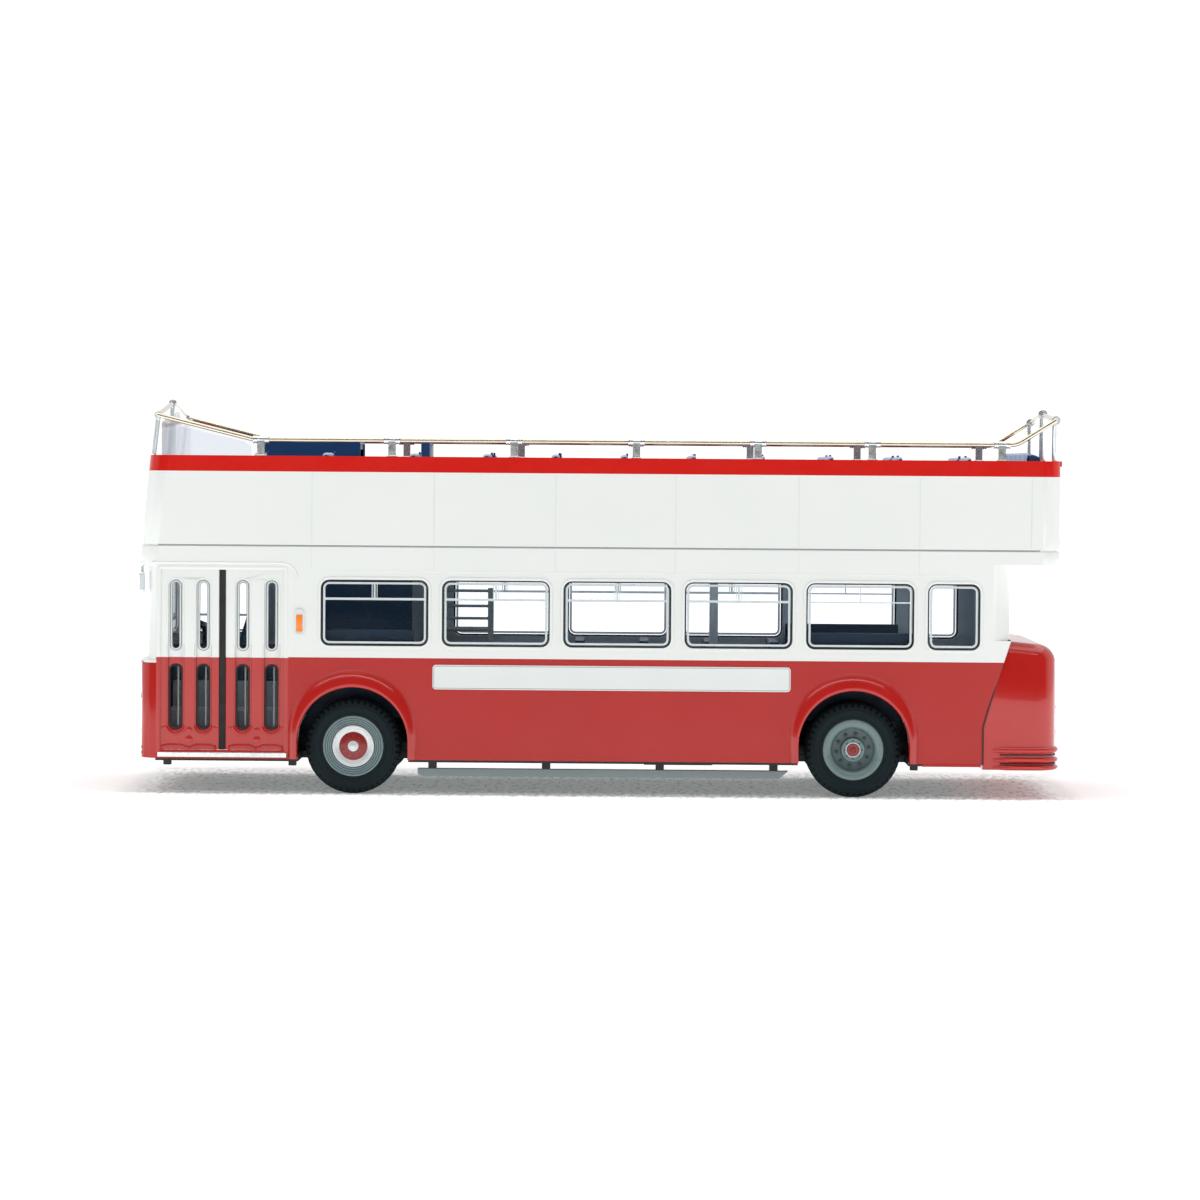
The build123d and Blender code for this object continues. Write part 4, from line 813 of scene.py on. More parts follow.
def addDoorTrim():
    v = doorValues
    face, channelFloor = onSide(-v["face"]), onSide(-v["floor"])
    lips, edging, seals, tread, channelLines, redLines = (bmesh.new() for _ in range(6))
    for x in v["columns"]:
        # soft lip along both edges of the channel
        addFrame(lips, slotOutline(x, *v["channel"]), face, v["lip"])
        light = slotOutline(x, *v["upper"])
        addFrame(edging, light, channelFloor, bandProfile(v["frame"], 0.05))
        addFrame(channelLines, insetLoop(light, -0.08), channelFloor, bandProfile(0.1, 0.03))
        addFrame(channelLines, insetLoop(light, v["frame"] - 0.03), channelFloor, bandProfile(0.07, 0.06))
        addFrame(seals, slotOutline(x, *v["lower"]), channelFloor, bandProfile(v["frame"], 0.08))
        # lines down both edges of each channel: painted shade, grey in the white upper part and dark red in
        # the red lower part
        for dx in v["edges"]:
            for tubes, ends in ((channelLines, v["upperShade"]), (redLines, v["lowerShade"])):
                addTube(tubes, [(x + dx, -v["face"], z) for z in ends], 0.06, 6)
        foot, head, width = v["lower"]
        addTube(channelLines, [(x + 0.3, -v["rail"], z) for z in (foot + 0.5, head - 0.35)], 0.13, 8)
    level, wide, deep = v["scallop"]
    for x0, x1 in v["leaves"]:
        # scallop under each light, buttons between them and a rolled edge below
        middle = (x0 + x1) / 2
        pair = [c for c in v["columns"] if x0 < c < x1]
        between = sum(pair) / 2
        for x in pair:
            turns = [math.radians(200 + 7 * i) for i in range(21)]
            arc = [(x + wide * math.cos(a), level + deep * math.sin(a)) for a in turns]
            addBead(lips, arc, face, 0.16)
            run = [(x - 1.9, 8.55), arc[0]] if x < between else [(x + 1.9, 8.55), arc[-1]]
            addBead(lips, run, face, 0.12)
        for z, r in v["buttons"]:
            button = [(out, max(0.02, r * share)) for out, share in v["button"]]
            addLathe(lips, (between, -v["face"], z), button, "Y", 16)
        half, low = v["rollDip"]
        top = v["rollEnd"][-1][1]
        roll = [(x0 + dx, z) for dx, z in v["rollEnd"]]
        roll += [(middle - half, top), (between, low), (middle + half, top)]
        roll += [(x1 - dx, z) for dx, z in reversed(v["rollEnd"])]
        addBead(lips, roll, face, 0.2)
    addPlate(tread, roundedRect(*v["tread"]), face, -0.02, 0.14, 0.05)
    # surround that closes the gap between the leaves and the body
    x0, x1, z0, z1 = v["aperture"]
    surround = roundedRect((x0 + x1) / 2, (z0 + z1) / 2, x1 - x0 + 0.5, z1 - z0 + 0.5, 0.5)
    addFrame(lips, surround, onSide(-v["wall"]), rimProfile(0.62, 0.13))
    makePiece("door_mouldings", lips, paint["doors"])
    makePiece("door_channel_lines", channelLines, paint["greyInkAndShade"])
    makePiece("door_channel_shadows", redLines, paint["redSeamAndShade"])
    makePiece("door_light_edging", edging, paint["silverInkAndGlow"])
    makePiece("door_light_seals", seals, paint["black"])
    makePiece("door_brightwork", tread, paint["silver"])


addDoorTrim()
print("doors trimmed")


# Wheels: rubber tyres with shoulder lugs, and turned hubs
wheelValues = {
    "height": 6.25,
    "face": 14.9,  # outer face of the outer tyre
    "front": -32.0,
    "rear": 33.3,
    "frontWidth": 3.2,
    "twinWidth": 2.7,
    "twinPitch": 3.0,
    "lugs": 44,
    "lugDepth": 0.17,
    "lugShare": (0.0, 0.30, 0.40, 0.90),  # two ends of a gap, two of a lug
    "dishRadius": 2.76,
    "dishDepth": 0.6,
}
# (depth behind the face, radius, share of lugDepth that the gaps between lugs cut in)
sidewall = (
    (0.45, 3.70, 0), (0.16, 3.93, 0), (0.05, 4.08, 0), (0.02, 4.22, 0), (0.07, 4.30, 0), (0.07, 4.40, 0),
    (0.0, 4.47, 0), (-0.02, 4.80, 0), (-0.03, 5.05, 0), (-0.06, 5.09, 0), (-0.06, 5.17, 0), (0.0, 5.22, 0),
    (0.03, 5.50, 0), (0.08, 5.58, 0), (0.10, 5.66, 0.3), (0.16, 5.84, 0.9), (0.30, 6.06, 1), (0.52, 6.19, 1),
    (0.86, 6.25, 1), (0.88, 6.25, 1), (0.90, 6.05, 0), (1.06, 6.05, 0), (1.08, 6.25, 0), (1.30, 6.25, 0),
)


def addTyre(bm, x, side, face, width):
    v = wheelValues
    half = [p for p in sidewall if p[0] < width / 2 - 0.1]
    other = [(width - depth, r, cut) for depth, r, cut in reversed(half)]
    rings = []
    for depth, r, cut in half + other:
        ring = []
        for lug in range(v["lugs"]):
            for i, share in enumerate(v["lugShare"]):
                a = 2 * math.pi * (lug + share) / v["lugs"]
                gap = cut * v["lugDepth"] if i < 2 else 0.0
                sink = gap * 0.8 if depth < 0.5 else (-gap * 0.8 if depth > width - 0.5 else 0.0)
                y = side * (face - depth - sink)
                ring.append(Vector((x + (r - gap) * math.cos(a), y, v["height"] + (r - gap) * math.sin(a))))
        rings.append(ring)
    addGrid(bm, rings, closedRun=True)


def turned(bm, x, side, profile, steps):
    # a closed turning about the axle; profile is (depth behind the wheel's face, radius)
    v = wheelValues
    centre = (x, side * v["face"], v["height"])
    addLathe(bm, centre, [(-side * depth, r) for depth, r in profile], "Y", steps, closed=True)


def addNut(bm, x, side, radius, turn, depth, size, tall):
    # a six-sided nut with its stud, radius mm from the axle
    v = wheelValues
    cx, cz = x + radius * math.cos(turn), v["height"] + radius * math.sin(turn)
    place = onSide(side * (v["face"] - depth))
    addPlate(bm, polygon(cx, cz, size, 6, turn), place, -0.1, tall, size * 0.2)
    addPlate(bm, polygon(cx, cz, size * 0.5, 10), place, tall - 0.05, tall + size * 0.5, size * 0.15)


# Turned parts: (depth behind the wheel's face, radius)
frontRim = (
    (0.30, 3.97), (0.10, 3.96), (0.04, 3.88), (0.04, 3.74), (0.18, 3.68), (0.22, 3.62), (0.12, 3.57),
    (0.12, 3.44), (0.26, 3.38), (0.28, 3.33), (0.18, 3.28), (0.18, 3.15), (0.32, 3.09), (0.34, 3.04),
    (0.24, 2.99), (0.24, 2.88), (0.36, 2.80), (0.62, 2.70), (0.62, 0.70), (1.90, 0.70), (1.90, 2.6),
    (2.3, 3.3), (3.02, 3.6), (3.05, 3.97),
)
frontRing = (
    (0.50, 2.75), (0.20, 2.74), (0.10, 2.68), (0.07, 2.58), (0.09, 2.50), (0.14, 2.47), (0.14, 2.32),
    (0.20, 2.28), (0.26, 2.08), (0.33, 1.93), (0.36, 1.84), (0.58, 1.84), (0.58, 2.75),
)
frontDisc = (
    (0.56, 1.87), (0.36, 1.86), (0.28, 1.80), (0.26, 1.70), (0.30, 1.66), (0.28, 1.58), (0.20, 1.30),
    (0.16, 1.00), (0.16, 0.62), (0.56, 0.62),
)
frontBoss = (
    (0.30, 0.72), (0.02, 0.70), (-0.06, 0.62), (-0.08, 0.46), (-0.14, 0.40), (-0.20, 0.22), (-0.22, 0.02),
    (0.30, 0.02),
)
rearRim = (
    (0.30, 3.97), (0.10, 3.96), (0.03, 3.86), (0.01, 3.66), (0.03, 3.42), (0.10, 3.16), (0.24, 2.97),
    (0.42, 2.86), (0.62, 2.80), (0.98, 2.74), (1.12, 2.66), (1.16, 2.52), (1.16, 1.66), (1.06, 1.60),
    (0.42, 1.54), (0.30, 1.50), (0.26, 1.40), (0.28, 1.24), (0.34, 1.20), (0.34, 0.70), (4.4, 0.70),
    (4.6, 2.4), (5.3, 3.2), (5.52, 3.6), (5.55, 3.97),
)
rearRing = ((0.36, 0.98), (0.22, 0.96), (0.22, 0.88), (0.36, 0.88))
rearCap = ((0.5, 0.86), (0.24, 0.86), (0.18, 0.80), (0.18, 0.02), (0.5, 0.02))


def addWheel(end, hand, side):
    v = wheelValues
    x = v[end]
    tyre, rim, bright, red, nuts = (bmesh.new() for _ in range(5))
    if end == "front":
        addTyre(tyre, x, side, v["face"], v["frontWidth"])
        turned(rim, x, side, frontRim, 96)
        turned(bright, x, side, frontRing, 96)
        turned(bright, x, side, frontBoss, 32)
        turned(red, x, side, frontDisc, 64)
        for i in range(10):
            addNut(red, x, side, 1.36, math.radians(36 * i + 18), 0.24, 0.13, 0.08)
    else:
        for i in (0, 1):
            addTyre(tyre, x, side, v["face"] - i * v["twinPitch"], v["twinWidth"])
        turned(rim, x, side, rearRim, 96)
        turned(bright, x, side, rearRing, 48)
        turned(red, x, side, rearCap, 6)
        addNut(red, x, side, 0.0, 0.3, 0.18, 0.42, 0.16)
        for i in range(10):
            addNut(nuts, x, side, 2.12, math.radians(36 * i + 8), 1.16, 0.24, 0.26)
        for i in range(8):
            addNut(nuts, x, side, 1.16, math.radians(45 * i), 0.34, 0.12, 0.08)
        for face in rim.faces:
            # the dish recessed inside the rim is painted darker, painted shade in the recess
            middle = face.calc_center_median()
            inner = math.hypot(middle.x - x, middle.z - v["height"]) < v["dishRadius"]
            face.material_index = 1 if inner and v["face"] - abs(middle.y) > v["dishDepth"] else 0
    wheel, body = f"{hand}_{end}", f"{end}_wheelset"
    rimPaint = [paint["hubGrey"]] if end == "front" else [paint["hubGreyLight"], paint["hubDishShade"]]
    standsFor = (f"{wheel}_tyre",)
    makePiece(f"{wheel}_rubber_tyre", tyre, paint["rubber"], body, standsFor, sharp=28)
    makePiece(f"{wheel}_turned_hub", rim, rimPaint, body, (f"{wheel}_hub",), sharp=25)
    if end == "rear":
        makePiece(f"{wheel}_hub_nuts", nuts, paint["hubNutShade"], body, sharp=25)
    makePiece(f"{wheel}_hub_ring", bright, paint["hubSilver"], body, sharp=25)
    makePiece(f"{wheel}_hub_centre", red, paint["hubRed"], body, sharp=25)


for end in ("front", "rear"):
    for hand, side in sides.items():
        addWheel(end, hand, side)
print("wheels turned and shod")


# Wheel arch mouldings: a soft bulging lip round each opening, run out into the skirt
archValues = {
    "opening": (7.2, 6.86),  # radius and height of the middle
    "outer": (8.4, 8.0),
    "skirt": 4.62,
    "side": 16.2,
    "bulge": 0.70,
    "steps": 56,
}
# (share of the way from the opening to the outer edge, share of the bulge)
archProfile = (
    (0.0, -0.5), (0.0, 0.7), (0.03, 0.9), (0.08, 0.98), (0.15, 1.0), (0.22, 0.985), (0.30, 0.95),
    (0.45, 0.85), (0.60, 0.68), (0.75, 0.45), (0.88, 0.2), (1.0, -0.06),
)


def archLine(x, radius, height):
    # half a circle that goes straight down from its ends to the skirt
    v = archValues
    arc = [(x + radius * math.cos(a), height + radius * math.sin(a)) for a in span(0, math.pi, v["steps"])]
    return [(x + radius, v["skirt"])] + arc + [(x - radius, v["skirt"])]


def addArches(hand, side):
    v = archValues
    bm = bmesh.new()
    for x in (wheelValues["front"], wheelValues["rear"]):
        rings = []
        for inner, outer in zip(archLine(x, *v["opening"]), archLine(x, *v["outer"])):
            ring = []
            for share, out in archProfile:
                x1, z1 = Vector(inner).lerp(Vector(outer), share)
                ring.append((x1, side * (v["side"] + v["bulge"] * out), z1))
            rings.append(ring)
        addGrid(bm, rings)
    makePiece(f"{hand}_arch_mouldings", bm, paint["cover"], sharp=50)


for hand, side in sides.items():
    addArches(hand, side)
print("arches moulded")


# Engine cover: a casting with a rounded crown, three bumper ribs and a louvred back
coverValues = {
    "seam": ((3.9, 50.05), (9.4, 50.05), (11.4, 50.60), (14.7, 51.62), (17.7, 52.56), (20.8, 53.5)),  # (Z, X)
    "seamSide": 16.13,
    "rear": 59.75,
    "half": 16.2,
    "corner": 3.0,  # rear corners in plan
    "crown": 2.1,  # radius round the top
    "foot": 3.9,
    "topFront": 20.62,
    "topFall": 0.10,
    "leanFrom": 12.6,  # above this the sides lean in, up to lean mm at the crown
    "lean": 0.62,
    "ribs": ((6.5, 0.42), (5.2, 0.36), (4.2, 0.34)),  # height of the middle, half height
    # heights of the painted shade lines in the hollows between the ribs
    "ribShadeLines": (4.7, 5.86),
    "ribStart": 51.4,
    "ribFlank": 0.38,  # how far a rib stands out at the sides at most
}
# (out of the cover, share of the rib's half height)
ribProfile = (
    (0.0, -1.0), (0.22, -0.86), (0.40, -0.4), (0.46, 0.0), (0.40, 0.4), (0.22, 0.86), (0.0, 1.0), (-0.2, 1.0),
    (-0.2, -1.0),
)
backValues = {
    "louvreFoot": 8.2,
    "louvrePitch": 0.95,
    "louvres": 7,
    "louvreY": ((-9.0, -4.7), (4.7, 9.0)),
    "louvre": ((0.0, 0.3), (0.06, 0.28), (0.3, -0.12), (0.3, -0.22), (0.0, -0.22)),  # leans out at its foot
    "flap": (0, 12.3, 19.4, 9.6, 0.7),  # Y, Z, width, height, corner
    "hingeY": (-7.6, 7.6),
    "hingeZ": (17.4, 18.0),
    "plate": (0, 15.3, 7.6, 1.7, 0.2),
    "plateEdge": (0, 15.3, 7.2, 1.3, 0.12),
    "lampY": 11.3,
    "lampZ": (11.7, 8.4),
    "lampRing": ((-0.1, 1.0), (0.12, 0.98), (0.2, 0.9), (0.2, 0.78), (-0.1, 0.76)),
    "lampLens": ((-0.1, 0.79), (0.15, 0.79), (0.26, 0.66), (0.33, 0.42), (0.36, 0.02), (-0.1, 0.02)),
    "handleY": 2.2,
    "handle": ((0.05, 9.4), (0.22, 9.6), (0.22, 10.9), (0.05, 11.1)),
}


def coverSeam(z):
    points = coverValues["seam"]
    for (z0, x0), (z1, x1) in zip(points, points[1:]):
        if z <= z1:
            return x0 + (x1 - x0) * max(0.0, z - z0) / (z1 - z0)
    return points[-1][1]


def coverTop(x):
    return coverValues["topFront"] - coverValues["topFall"] * (x - coverValues["seam"][-1][1])


def coverLean(z):
    v = coverValues
    share = max(0.0, z - v["leanFrom"]) / (v["topFront"] - v["crown"] - v["leanFrom"])
    return v["lean"] * share ** 2


def coverOutline(inset):
    # plan of the cover from the seam on one side round the back to the other; along the
    # sides x is None, and the share says how far from the seam to the corner a point lies
    v = coverValues
    r = v["corner"] - inset
    half, rear = v["half"] - inset, v["rear"] - inset
    cx, cy = rear - r, half - r
    flank = [i / 6 for i in range(6)]
    corner = [math.radians(-90 + 9 * i) for i in range(11)]
    points = [(share, None, -half) for share in flank]
    points += [(1.0, cx + r * math.cos(a), -cy + r * math.sin(a)) for a in corner]
    points += [(1.0, rear, y) for y in span(-cy, cy, 12)[1:-1]]
    points += [(1.0, cx + r * math.cos(a), cy - r * math.sin(a)) for a in reversed(corner)]
    points += [(share, None, half) for share in reversed(flank)]
    return points, cx


def coverRing(inset, level, lean=0.0):
    # level gives the height of a point from its place along the cover
    points, cx = coverOutline(inset)
    ring = []
    for share, x, y in points:
        if x is None:
            # the seam lies at a place that depends on the height, which depends on the place
            x = 52.0
            for again in range(2):
                front = coverSeam(level(x))
                x = front + (cx - front) * share
        ring.append(Vector((x, y * (1 - lean / coverValues["half"]), level(x))))
    return ring


def ribLine():
    # (x, y) round the back of the cover, from just behind the seam on both sides
    points, cx = coverOutline(0)
    start = coverValues["ribStart"]
    return [(start + (cx - start) * share if x is None else x, y) for share, x, y in points]


def addRib(bm, z, size):
    # half round, its ends tapered off just behind the seam
    path = [Vector(p) for p in ribLine()]
    last = len(path) - 1
    rings = []
    for i, p in enumerate(path):
        along = (path[min(last, i + 1)] - path[max(0, i - 1)]).normalized()
        taper = min(1.0, 0.25 + min(i, last - i) * 0.4)
        ring = []
        for out, share in ribProfile:
            aside = -along.x * min(out * taper, coverValues["ribFlank"])
            ring.append((p.x + along.y * out * taper, p.y + aside, z + share * size * (0.6 + 0.4 * taper)))
        rings.append(ring)
    addGrid(bm, rings)


def addCover():
    v = coverValues
    bm = bmesh.new()
    r, low = v["crown"], v["foot"] + 0.3
    rings = [coverRing(inset, lambda x: v["foot"] + up) for inset, up in ((0.3, 0.0), (0.1, 0.1), (0, 0.3))]
    for rise in span(0, 1, 18)[1:]:
        lean = coverLean(low + (v["topFront"] - r - low) * rise)
        rings.append(coverRing(0, lambda x: low + (coverTop(x) - r - low) * rise, lean))
    for a in span(0, math.pi / 2, 12)[1:]:
        rings.append(coverRing(r * (1 - math.cos(a)), lambda x: coverTop(x) - r + r * math.sin(a), v["lean"]))
    addGrid(bm, rings)
    for z, size in v["ribs"]:
        addRib(bm, z, size)
    standsFor = ("engine_cover",)
    makePiece("engine_cover_casting", bm, paint["cover"], standsFor=standsFor, sharp=40)

    gap = bmesh.new()
    for side in sides.values():
        path = [(v["seam"][0][1] + 0.02, side * v["seamSide"], 4.5)]
        path += [(x + 0.02, side * (v["seamSide"] - coverLean(z)), z) for z, x in v["seam"][1:]]
        addTube(gap, path, 0.17, 8)
    # dark lines between the ribs: painted shade in their hollows
    for z in v["ribShadeLines"]:
        addTube(gap, [(x, y, z) for x, y in ribLine()[1:-1]], 0.13, 6)
    makePiece("engine_cover_gap_and_shade", gap, paint["redSeamAndShade"])


def addCoverBack():
    v = backValues
    rear = coverValues["rear"]
    place = onEnd(rear)
    louvres, plate, bright, lenses = (bmesh.new() for _ in range(4))
    for row in range(v["louvres"]):
        z = v["louvreFoot"] + row * v["louvrePitch"]
        for ends in v["louvreY"]:
            addGrid(louvres, [[(rear - 0.03 + out, y, z + dz) for out, dz in v["louvre"]] for y in ends])
    addFrame(louvres, roundedRect(*v["flap"]), place, rimProfile(0.3, 0.12))
    z0, z1 = v["hingeZ"]
    for y in v["hingeY"]:
        addBox(louvres, (rear - 0.1, y - 0.5, z0), (rear, y + 0.5, z1), 0.1)
    addPlate(plate, roundedRect(*v["plate"]), place, -0.05, 0.22, 0.06)
    addFrame(bright, roundedRect(*v["plateEdge"]), onEnd(rear + 0.2), bandProfile(0.1, 0.04))
    for side in sides.values():
        for z in v["lampZ"]:
            centre = (rear, side * v["lampY"], z)
            addLathe(bright, centre, v["lampRing"], "X", 32, closed=True)
            addLathe(lenses, centre, v["lampLens"], "X", 32, closed=True)
        addTube(bright, [place((side * v["handleY"], z), out) for out, z in v["handle"]], 0.14, 8)
    makePiece("engine_cover_louvres", louvres, paint["cover"])
    makePiece("rear_number_plate", plate, paint["black"])
    makePiece("rear_brightwork", bright, paint["silver"])
    makePiece("tail_lamp_lenses", lenses, paint["ruby"], standsFor=("tail_lights",))


addCover()
addCoverBack()
print("engine cover built")


# Body trim: route board (blank), indicators, beads, seams and mouldings
trimValues = {
    "side": 16.2,
    "board": (1.7, 15.45, 46.6, 3.2, 0.45),  # X, Z, width, height, corner
    "boardThick": 0.12,
    "indicator": (-38.95, 22.5, 1.24, 3.5, 0.5),
    "indicatorLens": (-38.95, 22.35, 0.86, 2.2, 0.16),
    "indicatorRim": ((0, -0.05), (0.02, 0.2), (0.12, 0.34), (0.2, 0.34), (0.22, 0.22), (0.3, -0.05)),
    "joints": (-37.4, -21.5, -5.7, 9.9, 25.9, 41.6, 56.1),
    "upperJoint": (32.75, 41.85),
    "lowerJoint": (29.3, 32.1),
    "jointLift": 0.012,  # how far a joint line lies off its panel
    "castingJoint": 32.46,
    "castingJointX": (-57.4, 57.2),
    "drip": ((-58.2, 30.1), (-50.0, 30.1), (-41.2, 30.1)),
    "dripTurn": 1.9,  # radius of its downturned rear end
    "head": 29.15,  # bead over the windows
    "headX": (-33.0, 47.0),
}


def addJoint(bm, place, x, half, ends, steps):
    # a hair-line joint down a panel, half mm to each side of x
    rows = span(*ends, steps)
    lift = trimValues["jointLift"]
    addGrid(bm, [[place((x + dx, z), lift) for z in rows] for dx in (-half, half)], closedRing=False)


def addRouteBoard(hand, side):
    v = trimValues
    board, line = bmesh.new(), bmesh.new()
    outline = roundedRect(*v["board"])
    addPlate(board, outline, onSide(side * v["side"]), -0.05, v["boardThick"], 0.04)
    face = onSide(side * (v["side"] + v["boardThick"]))
    addFrame(line, insetLoop(outline, 0.12), face, bandProfile(0.1, 0.015))
    makePiece(f"{hand}_route_board", board, paint["palePrint"])
    makePiece(f"{hand}_route_board_edge", line, paint["greyInkAndShade"])


def addIndicator(hand, side):
    v = trimValues
    place = onSide(side * v["side"])
    case, glass = bmesh.new(), bmesh.new()
    outline = roundedRect(*v["indicator"])
    addFrame(case, outline, place, v["indicatorRim"])
    addPlate(case, insetLoop(outline, 0.18), place, -0.02, 0.2, 0.05)
    addPlate(glass, roundedRect(*v["indicatorLens"]), place, 0.1, 0.36, 0.09)
    replaced = ("side_indicators",) if hand == "nearside" else ()
    makePiece(f"{hand}_indicator_case", case, paint["palePrint"], standsFor=replaced)
    makePiece(f"{hand}_indicator_lens", glass, paint["amber"])


def addJoints(hand, side):
    # of the side panels, above and below the joint of the castings
    v = trimValues
    joints, gap = bmesh.new(), bmesh.new()
    upper = against("upper_body", 1, side, side * v["side"])
    lower = against("lower_body", 1, side, side * v["side"])
    for x in v["joints"]:
        addJoint(joints, upper, x, 0.05, v["upperJoint"], 8)
        if x < coverValues["ribStart"]:
            addJoint(joints, lower, x, 0.04, v["lowerJoint"], 3)
    run = [(x, v["castingJoint"]) for x in span(*v["castingJointX"], 30)]
    addBead(gap, run, onSide(side * (v["side"] - 0.08)), 0.09)
    makePiece(f"{hand}_panel_joints", joints, paint["seam"])
    makePiece(f"{hand}_casting_joint", gap, paint["greyInkAndShade"])


def addDripRail(hand, side):
    # over the doors or the cab, turned down at its rear end, and a bead over the windows
    v = trimValues
    bm = bmesh.new()
    place = onSide(side * (v["side"] - 0.02))
    x, z = v["drip"][-1]
    r = v["dripTurn"]
    turns = [math.radians(10 * i) for i in range(1, 10)]
    addBead(bm, [*v["drip"], *((x + r * math.sin(a), z - r + r * math.cos(a)) for a in turns)], place, 0.16)
    addBead(bm, [(x, v["head"]) for x in span(*v["headX"], 10)], place, 0.07)
    makePiece(f"{hand}_drip_rail", bm, paint["white"])


for fittings in ((addRouteBoard, addIndicator), (addJoints,), (addDripRail,)):
    for hand, side in sides.items():
        for add in fittings:
            add(hand, side)
print("body trim fitted")


# Upper deck: moulded double seats with pale blue pads, a lighter copy of the navy seat plastic that paints
# the top light on cushions and backs, the rear bench, the stair hood and the ribbed floor
upperValues = {
    "floor": 33.8,
    "cushion": 38.6,
    "head": 44.55,
    "benchHead": 45.2,
    "depth": 5.0,
    "frame": 0.8,
    "aisle": 3.4,  # middle to the aisle side of a seat
    "wall": 14.0,
    "nearsideFront": (-44.9, -36.0, -24.6),
    "endPanel": (-24.5, -23.3),  # upright behind the stairwell
    "lastRow": 48.0,
    "pitch": 9.0,
    "rows": 8,
    "benchX": (51.4, 57.6),
    "benchPads": 5,
    "hoodX": (-45.9, -33.0),
    "hoodY": (5.0, 14.3),
    "hoodTop": 46.2,
    "hoodWall": 0.8,
    "hoodRibs": (7.6, 9.65, 11.7),
    "treadX": (-48.0, 51.0),
    "treadPitch": 0.7,
    "treads": 9,
    "coveX": (-55.4, 57.6),
    "coveY": 14.6,
}


def seatPlaces():
    v = upperValues
    rows = [v["lastRow"] - i * v["pitch"] for i in range(v["rows"])]
    return [(-1, x) for x in v["nearsideFront"]] + [(side, x) for side in (-1, 1) for x in rows]


def addSlab(bm, profile, y0, y1, edge, crown=0.0):
    # a bar with this XZ profile between two widths, edge mm lower at its ends; crown
    # swells its middle
    half = ((0.0, edge), (0.15, 0.06), (0.35, 0.0), (0.5, 0.0))
    sections = []
    for share, inset in half + tuple((1 - s, i) for s, i in reversed(half[:-1])):
        y = y0 + (y1 - y0) * share
        inset -= crown * math.sin(math.pi * share)
        loop = insetLoop(profile, inset) if abs(inset) > 1e-6 else profile
        sections.append([Vector((p[0], y, p[1])) for p in loop])
    addGrid(bm, sections)


def roundedPath(points, r, steps=4, closed=True):
    # an outline whose corners are rounded with radius r; an open one keeps its two ends
    out = []
    last = len(points) - 1
    for i, corner in enumerate(points):
        if not closed and i in (0, last):
            out.append(corner)
            continue
        a, b, c = Vector(points[i - 1]), Vector(corner), Vector(points[(i + 1) % len(points)])
        reach = min(r, (a - b).length * 0.45, (c - b).length * 0.45)
        p, q = b + (a - b).normalized() * reach, b + (c - b).normalized() * reach
        out += [tuple((1 - t) ** 2 * p + 2 * t * (1 - t) * b + t ** 2 * q) for t in span(0, 1, steps)]
    return out


def addUpperSeats():
    v = upperValues
    frames, pads = bmesh.new(), bmesh.new()
    t, cushion, head, floor = v["frame"], v["cushion"], v["head"], v["floor"]
    for side, x in seatPlaces():
        y0, y1 = sorted((side * v["aisle"], side * v["wall"]))
        front = x - v["depth"]
        shell = [
            (x + t, floor + 0.02), (x + t, head - 0.9), (x + t * 0.8, head - 0.35), (x, head - 0.35),
            (x - t, cushion), (front, cushion), (front, cushion - t), (x - 2 * t, cushion - t),
            (x - 2 * t, floor + 0.02),
        ]
        back = [
            (x - t * 1.05, cushion + 0.6), (x + 0.02, head - 0.55), (x + 0.5, head - 0.55),
            (x + 0.55, head - 0.2), (x + 0.25, head), (x - 0.3, head - 0.12), (x - t * 1.7, cushion + 0.95),
        ]
        seat = [
            (x - t * 1.3, cushion - 0.02), (x - t * 1.5, cushion + 0.75), (front + 0.7, cushion + 0.8),
            (front + 0.1, cushion + 0.45), (front + 0.05, cushion - 0.02),
        ]
        addSlab(frames, roundedPath(shell, 0.3), y0, y1, 0.12)
        middle = (y0 + y1) / 2
        for a, b in ((y0 + 0.25, middle - 0.12), (middle + 0.12, y1 - 0.25)):
            addSlab(pads, roundedPath(back, 0.35), a, b, 0.3, 0.03)
            addSlab(pads, roundedPath(seat, 0.3), a, b, 0.3, 0.04)
        # grab loop on the aisle corner of the back
        near, far = side * (v["aisle"] + 0.55), side * (v["aisle"] + 1.45)
        foot, top = (x + 0.45, head - 0.5), (x + 0.5, head + 0.1)
        loop = [(px, y, z) for (px, z), y in ((foot, near), (top, near), (top, far), (foot, far))]
        addTube(frames, loop, 0.14, 8)
    makePiece("upper_seat_frames", frames, paint["navy"], standsFor=("upper_seats",))
    makePiece("upper_seat_cushions", pads, paint["blueLitTop"], standsFor=("seat_pads",))


